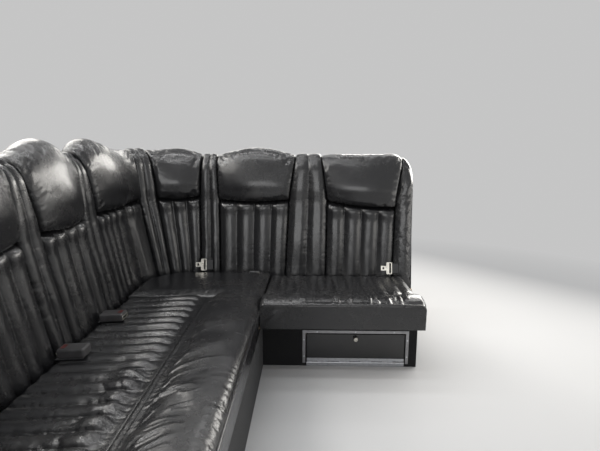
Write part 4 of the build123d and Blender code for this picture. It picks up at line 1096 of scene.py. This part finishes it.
class LOUNGE_OT_stuffing(bpy.types.Operator):
    """Stuffs each sewn cover with a short cloth simulation and gives the result to its mesh"""
    bl_idname = "lounge.stuffing"
    bl_label = "Stuff the covers"

    def execute(self, context):
        toiles = [self.toile(*cover) for cover in COVERS]
        for number in range(1, STUFFING_FRAMES + 1):
            context.scene.frame_set(number)
        graph = context.evaluated_depsgraph_get()
        for toile, (name, points, sewn, swell, slack) in zip(toiles, COVERS):
            start = points[::2, ::2]
            count = start.shape[0] * start.shape[1]
            moved = vertices_of(toile.evaluated_get(graph).data)[:count].reshape(start.shape) - start
            for _ in range(8 if slack < 0.3 else 1):
                moved = (np.roll(moved, 1, axis=1) + 2 * moved + np.roll(moved, -1, axis=1)) / 4
            reach = np.linalg.norm(moved, axis=-1, keepdims=True)
            moved *= np.minimum(1.0, swell / np.maximum(reach, 1e-9))
            moved *= 1 - sewn[::2, ::2, None]
            mesh = bpy.data.objects[name].data
            new = vertices_of(mesh)
            new[:points.shape[0] * points.shape[1]] += doubled(moved).reshape(-1, 3)
            mesh.vertices.foreach_set("co", new.ravel())
            mesh.update()
        for toile in toiles:
            bpy.data.objects.remove(toile)
        context.scene.frame_set(1)
        return {"FINISHED"}

    def toile(self, name, points, sewn, swell, slack):
        """Coarse copy of a cover as cloth, held where it is sewn and at its ends."""
        coarse = points[::2, ::2]
        toile = loop_solid(f"toile_{name}", coarse, "hide", 1)
        ends = len(toile.data.vertices) - coarse.shape[0] * coarse.shape[1]
        held = np.concatenate([sewn[::2, ::2].ravel() > 0.5, np.ones(ends, bool)])
        group = toile.vertex_groups.new(name="sewn")
        group.add(np.flatnonzero(held).tolist(), 1.0, "REPLACE")
        cloth = toile.modifiers.new("Cloth", "CLOTH")
        settings = cloth.settings
        settings.quality = 4
        settings.mass = 0.02
        settings.tension_stiffness = settings.compression_stiffness = 15.0
        settings.shear_stiffness = 7.5
        settings.bending_stiffness = 0.5
        settings.use_pressure = True
        settings.uniform_pressure_force = sizes().pressure
        settings.effector_weights.gravity = 0.0
        settings.vertex_group_mass = "sewn"
        settings.shrink_min = -sizes().slack * slack
        cloth.collision_settings.use_collision = False
        cloth.point_cache.frame_start = 1
        cloth.point_cache.frame_end = STUFFING_FRAMES + 2
        return toile


# Base, locker and belts

def dress(finish_name, *nodes):
    """Gives CAD nodes that stay in view a better material."""
    for node in nodes:
        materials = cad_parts[node].data.materials
        materials.clear()
        materials.append(finish(finish_name))


def start_box(name, centre, size):
    """Adds a box at its size and place, the only thing selected."""
    bpy.ops.object.select_all(action="DESELECT")
    bpy.ops.mesh.primitive_cube_add(size=1.0, location=centre)
    piece = bpy.context.active_object
    piece.name = name
    piece.data.name = name
    piece.scale = size
    bpy.ops.object.transform_apply(location=True, rotation=True, scale=True)
    return piece


def pick_faces(piece, test):
    """Enters edit mode with only the faces selected that pass the test."""
    mesh = piece.data
    for parts in (mesh.vertices, mesh.edges):
        parts.foreach_set("select", [False] * len(parts))
    mesh.polygons.foreach_set("select", [bool(test(face.normal)) for face in mesh.polygons])
    bpy.ops.object.mode_set(mode="EDIT")
    bpy.ops.mesh.select_mode(type="FACE")


def soften(piece, width, segments=2):
    """Rounds the edges of a finished piece, applied, with smooth shading between its flat faces."""
    bpy.ops.object.mode_set(mode="OBJECT")
    modifier = piece.modifiers.new("Rounding", "BEVEL")
    modifier.width = width
    modifier.segments = segments
    modifier.limit_method = "ANGLE"
    modifier.harden_normals = False
    bpy.context.view_layer.objects.active = piece
    bpy.ops.object.modifier_apply(modifier=modifier.name)
    bpy.ops.object.shade_smooth_by_angle(angle=radians(38.0))


def fit_rigid(piece, where, finish_name):
    """Moves a finished piece's mesh to its place and gives the piece its finish and body."""
    piece.data.transform(where)
    piece.data.materials.clear()
    piece.data.materials.append(finish(finish_name))
    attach(piece, ROOT)


def buckle_frame(y, lift):
    """Where a buckle lies: its x runs from the crease up the cushion."""
    crest = NEAR + (int((y - NEAR) / PLEAT_PITCH) + 0.5) * PLEAT_PITCH
    return (Matrix.Translation((LEFT + FOOT_U, crest, CREASE + 0.0004)) @ Matrix.Rotation(-BUCKLE_TILT, 4, "Y")
            @ Matrix.Translation((BUCKLE_REAR + BUCKLE_LENGTH / 2, 0.0, lift)))


def buckle_button(name, where):
    """Press button in a buckle's recess, dished on top."""
    centre = (BUCKLE_LENGTH / 2 - 0.014, 0.0, BUCKLE_THICKNESS - 0.0004)
    button = start_box(name, centre, (0.0126, 0.0264, 0.0022))
    pick_faces(button, lambda normal: normal.z > 0.9)
    bpy.ops.mesh.inset(thickness=0.0022, depth=-0.0007)
    soften(button, 0.0005)
    fit_rigid(button, where, "button")


def buckle_mouth(name, where):
    """Bright frame round the mouth that the tongue goes into."""
    centre = (BUCKLE_LENGTH / 2 - 0.0003, 0.0, BUCKLE_THICKNESS * 0.42)
    mouth = start_box(name, centre, (0.0030, 0.0460, 0.0170))
    pick_faces(mouth, lambda normal: abs(normal.x) > 0.9)
    bpy.ops.mesh.inset(thickness=0.0046, depth=0.0)
    bpy.ops.mesh.bridge_edge_loops()
    soften(mouth, 0.0009, 3)
    fit_rigid(mouth, where, "chrome")


class LOUNGE_OT_belts(bpy.types.Operator):
    """Adds the buttons and mouths of the lap belts and gives the belts their finishes"""
    bl_idname = "lounge.belts"
    bl_label = "Lap belts"

    def execute(self, context):
        turned = buckle_frame(0.033, WEBBING_LIFT) @ Matrix.Rotation(pi, 4, "Z")
        opened = buckle_frame(0.335, 0.0)
        for number, where in ((1, turned), (2, opened)):
            buckle_button(f"buckle_button_{number}", where)
            buckle_mouth(f"buckle_mouth_{number}", where)
        dress("buckle", "buckle_1", "buckle_2")
        dress("chrome", "latch_plates")
        dress("webbing", "buckle_straps", "plate_straps")
        return {"FINISHED"}


class LOUNGE_OT_locker(bpy.types.Operator):
    """Adds the locker's screws and gives its door, trim, liner and hinge their finishes"""
    bl_idname = "lounge.locker"
    bl_label = "Locker"

    def execute(self, context):
        self.add_screws()
        dress("panel", "locker_door")
        dress("trim", "locker_trim")
        dress("steel", "locker_hinge", "locker_door_leaf")
        dress("chrome", "locker_pull")
        dress("liner", "locker_liner")
        return {"FINISHED"}

    def add_screws(self):
        """Countersunk screws that hold the trim: one is modelled, and each of them is its copy."""
        left, right, high = LOCKER_LOW_X - 0.006, LOCKER_HIGH_X + 0.006, LOCKER_HEAD + 0.006
        middle = (LOCKER_LOW_X + LOCKER_HIGH_X) / 2
        places = [(left, 0.045), (left, 0.120), (right, 0.045), (right, 0.120),
                  (LOCKER_LOW_X + 0.05, high), (middle, high), (LOCKER_HIGH_X - 0.05, high)]
        bpy.ops.object.select_all(action="DESELECT")
        bpy.ops.mesh.primitive_cylinder_add(vertices=20, radius=0.0034, depth=0.0012, location=(0, 0, 0),
                                            rotation=(pi / 2, 0, 0))
        model = bpy.context.active_object
        bpy.ops.object.transform_apply(location=True, rotation=True, scale=True)
        pick_faces(model, lambda normal: normal.y < -0.9)
        for thickness, depth in ((0.0008, 0.0003), (0.0011, 0.0), (0.0001, -0.0007)):
            bpy.ops.mesh.inset(thickness=thickness, depth=depth)
        soften(model, 0.0002)
        for number, (x, z) in enumerate(places, 1):
            screw = bpy.data.objects.new(f"trim_screw_{number}", model.data.copy())
            bpy.context.scene.collection.objects.link(screw)
            where = Matrix.Translation((x, RISER_Y - 0.003, z)) @ Matrix.Rotation(number * 0.7, 4, "Y")
            fit_rigid(screw, where, "steel")
        bpy.data.objects.remove(model)


class LOUNGE_OT_base(bpy.types.Operator):
    """Gives the boards, decks, carpeted panels and brackets their finishes"""
    bl_idname = "lounge.base"
    bl_label = "Base"

    def execute(self, context):
        dress("plywood", "side_front_riser", "side_rear_riser", "side_ribs", "side_deck", "cross_deck")
        dress("plywood_upright", "cross_rear_riser", "corner_riser", "side_backboard", "corner_backboard",
              "cross_backboard", "back_posts")
        dress("carpet", "side_skirt", "side_end_riser", "cross_front_riser", "cross_end_riser")
        dress("steel", "floor_brackets")
        return {"FINISHED"}


# Stage

def area_light(name, place_at, target, size_x, size_y, power, colour):
    """Adds a lamp that shines on the target; the camera doesn't see it."""
    light = bpy.data.lights.new(name, "AREA")
    light.shape = "RECTANGLE"
    light.size, light.size_y = size_x, size_y
    light.energy = power
    light.color = colour
    lamp = bpy.data.objects.new(name, light)
    lamp.location = place_at
    lamp.rotation_euler = (Vector(target) - Vector(place_at)).to_track_quat("-Z", "Y").to_euler()
    lamp.visible_camera = False
    bpy.context.scene.collection.objects.link(lamp)


def background_rays(nodes):
    """One for rays that should see the pale backdrop: from the camera, and off gloss and through glass."""
    path = nodes.add("ShaderNodeLightPath")
    seen = nodes.math("MAXIMUM", path.outputs["Is Camera Ray"], path.outputs["Is Glossy Ray"])
    return nodes.math("MAXIMUM", seen, path.outputs["Is Transmission Ray"])


class LOUNGE_OT_stage(bpy.types.Operator):
    """Adds the floor, the lamps and the camera"""
    bl_idname = "lounge.stage"
    bl_label = "Stage"

    def execute(self, context):
        scene = context.scene
        self.add_camera(scene)
        self.add_floor()
        self.add_world(scene)
        for lamp in LAMPS:
            area_light(*lamp)
        scene.view_settings.view_transform = "Standard"
        return {"FINISHED"}

    def add_camera(self, scene):
        """Camera where the photograph was taken, with its angle of view."""
        camera = bpy.data.cameras.new("camera")
        camera.sensor_fit = "HORIZONTAL"
        camera.sensor_width = 36.0
        camera.lens = 36.0 * FOCAL_PIXELS / PHOTO_WIDTH_PIXELS
        camera.clip_start = 0.02
        viewer = bpy.data.objects.new("camera", camera)
        viewer.location = (LEFT + CAMERA_FROM_WALL, FRONT - CAMERA_FROM_PARTITION, CAMERA_HEIGHT)
        viewer.rotation_euler = (pi / 2 - CAMERA_DOWN, 0.0, CAMERA_LEFT)
        scene.collection.objects.link(viewer)
        scene.camera = viewer

    def add_floor(self):
        """Wide pale floor that turns into the backdrop's colour away from the bench."""
        rings, around, reach, level = 24, 48, 14.0, -0.0005
        points = [(0.0, 0.0, level)]
        for ring in range(1, rings + 1):
            radius = reach * (ring / rings) ** 1.5
            points += [(radius * cos(2 * pi * k / around), radius * sin(2 * pi * k / around), level)
                       for k in range(around)]
        faces = [(0, 1 + k, 1 + (k + 1) % around) for k in range(around)]
        for ring in range(rings - 1):
            a, b = 1 + ring * around, 1 + (ring + 1) * around
            faces += [(a + k, b + k, b + (k + 1) % around, a + (k + 1) % around) for k in range(around)]
        mesh_piece("studio_floor", points, faces, self.floor_material())

    def floor_material(self):
        made = Finish("studio_floor")
        tone = made.noise(made.mapped(), 3.0, 2.0, 0.5)
        pale = tuple(looks().floor)
        made.set(Base_Color=made.mix(tone, pale, scaled(pale, 0.97)), Roughness=0.9, Specular_IOR_Level=0.1)
        distance = made.add("ShaderNodeVectorMath", operation="LENGTH", Vector=made.mapped()).outputs["Value"]
        far = made.math("MULTIPLY", made.ramp(distance, 1.4, 3.4), background_rays(made))
        glow = made.add("ShaderNodeEmission", Color=(*looks().backdrop, 1.0), Strength=1.0)
        made.blend(far, made.shader, glow)
        return made.owner

    def add_world(self, scene):
        """Soft fill all round, and the backdrop's colour for the rays that see it."""
        scene.world = bpy.data.worlds.new("studio")
        made = Nodes(scene.world, "ShaderNodeOutputWorld")
        seen = made.add("ShaderNodeBackground", Color=(*looks().backdrop, 1.0), Strength=1.0)
        fill = made.add("ShaderNodeBackground", Color=(0.85, 0.87, 0.90, 1.0), Strength=0.55)
        made.blend(background_rays(made), fill, seen)


class LOUNGE_PT_panel(bpy.types.Panel):
    """Lists the sizes, the looks and the steps of the bench in the sidebar"""
    bl_idname = "LOUNGE_PT_panel"
    bl_label = "Corner lounge bench"
    bl_space_type = "VIEW_3D"
    bl_region_type = "UI"
    bl_category = "Lounge bench"

    def draw(self, context):
        for group in (sizes(), looks()):
            for name in group.__annotations__:
                self.layout.prop(group, name)
        for step in STEPS:
            self.layout.operator(step.bl_idname)


STEPS = (LOUNGE_OT_channels, LOUNGE_OT_pillows, LOUNGE_OT_bands, LOUNGE_OT_cushions, LOUNGE_OT_stuffing,
         LOUNGE_OT_base, LOUNGE_OT_locker, LOUNGE_OT_belts, LOUNGE_OT_stage)
CLASSES = (LoungeSizes, LoungeLooks) + STEPS + (LOUNGE_PT_panel,)


def register():
    for item in CLASSES:
        bpy.utils.register_class(item)
    bpy.types.Scene.lounge_sizes = PointerProperty(type=LoungeSizes)
    bpy.types.Scene.lounge_looks = PointerProperty(type=LoungeLooks)


def unregister():
    del bpy.types.Scene.lounge_looks
    del bpy.types.Scene.lounge_sizes
    for item in reversed(CLASSES):
        bpy.utils.unregister_class(item)


def main():
    register()
    bpy.ops.lounge.channels()
    bpy.ops.lounge.pillows()
    bpy.ops.lounge.bands()
    bpy.ops.lounge.cushions()
    bpy.ops.lounge.stuffing()
    bpy.ops.lounge.base()
    bpy.ops.lounge.locker()
    bpy.ops.lounge.belts()
    bpy.ops.lounge.stage()


if __name__ == "__main__":
    main()
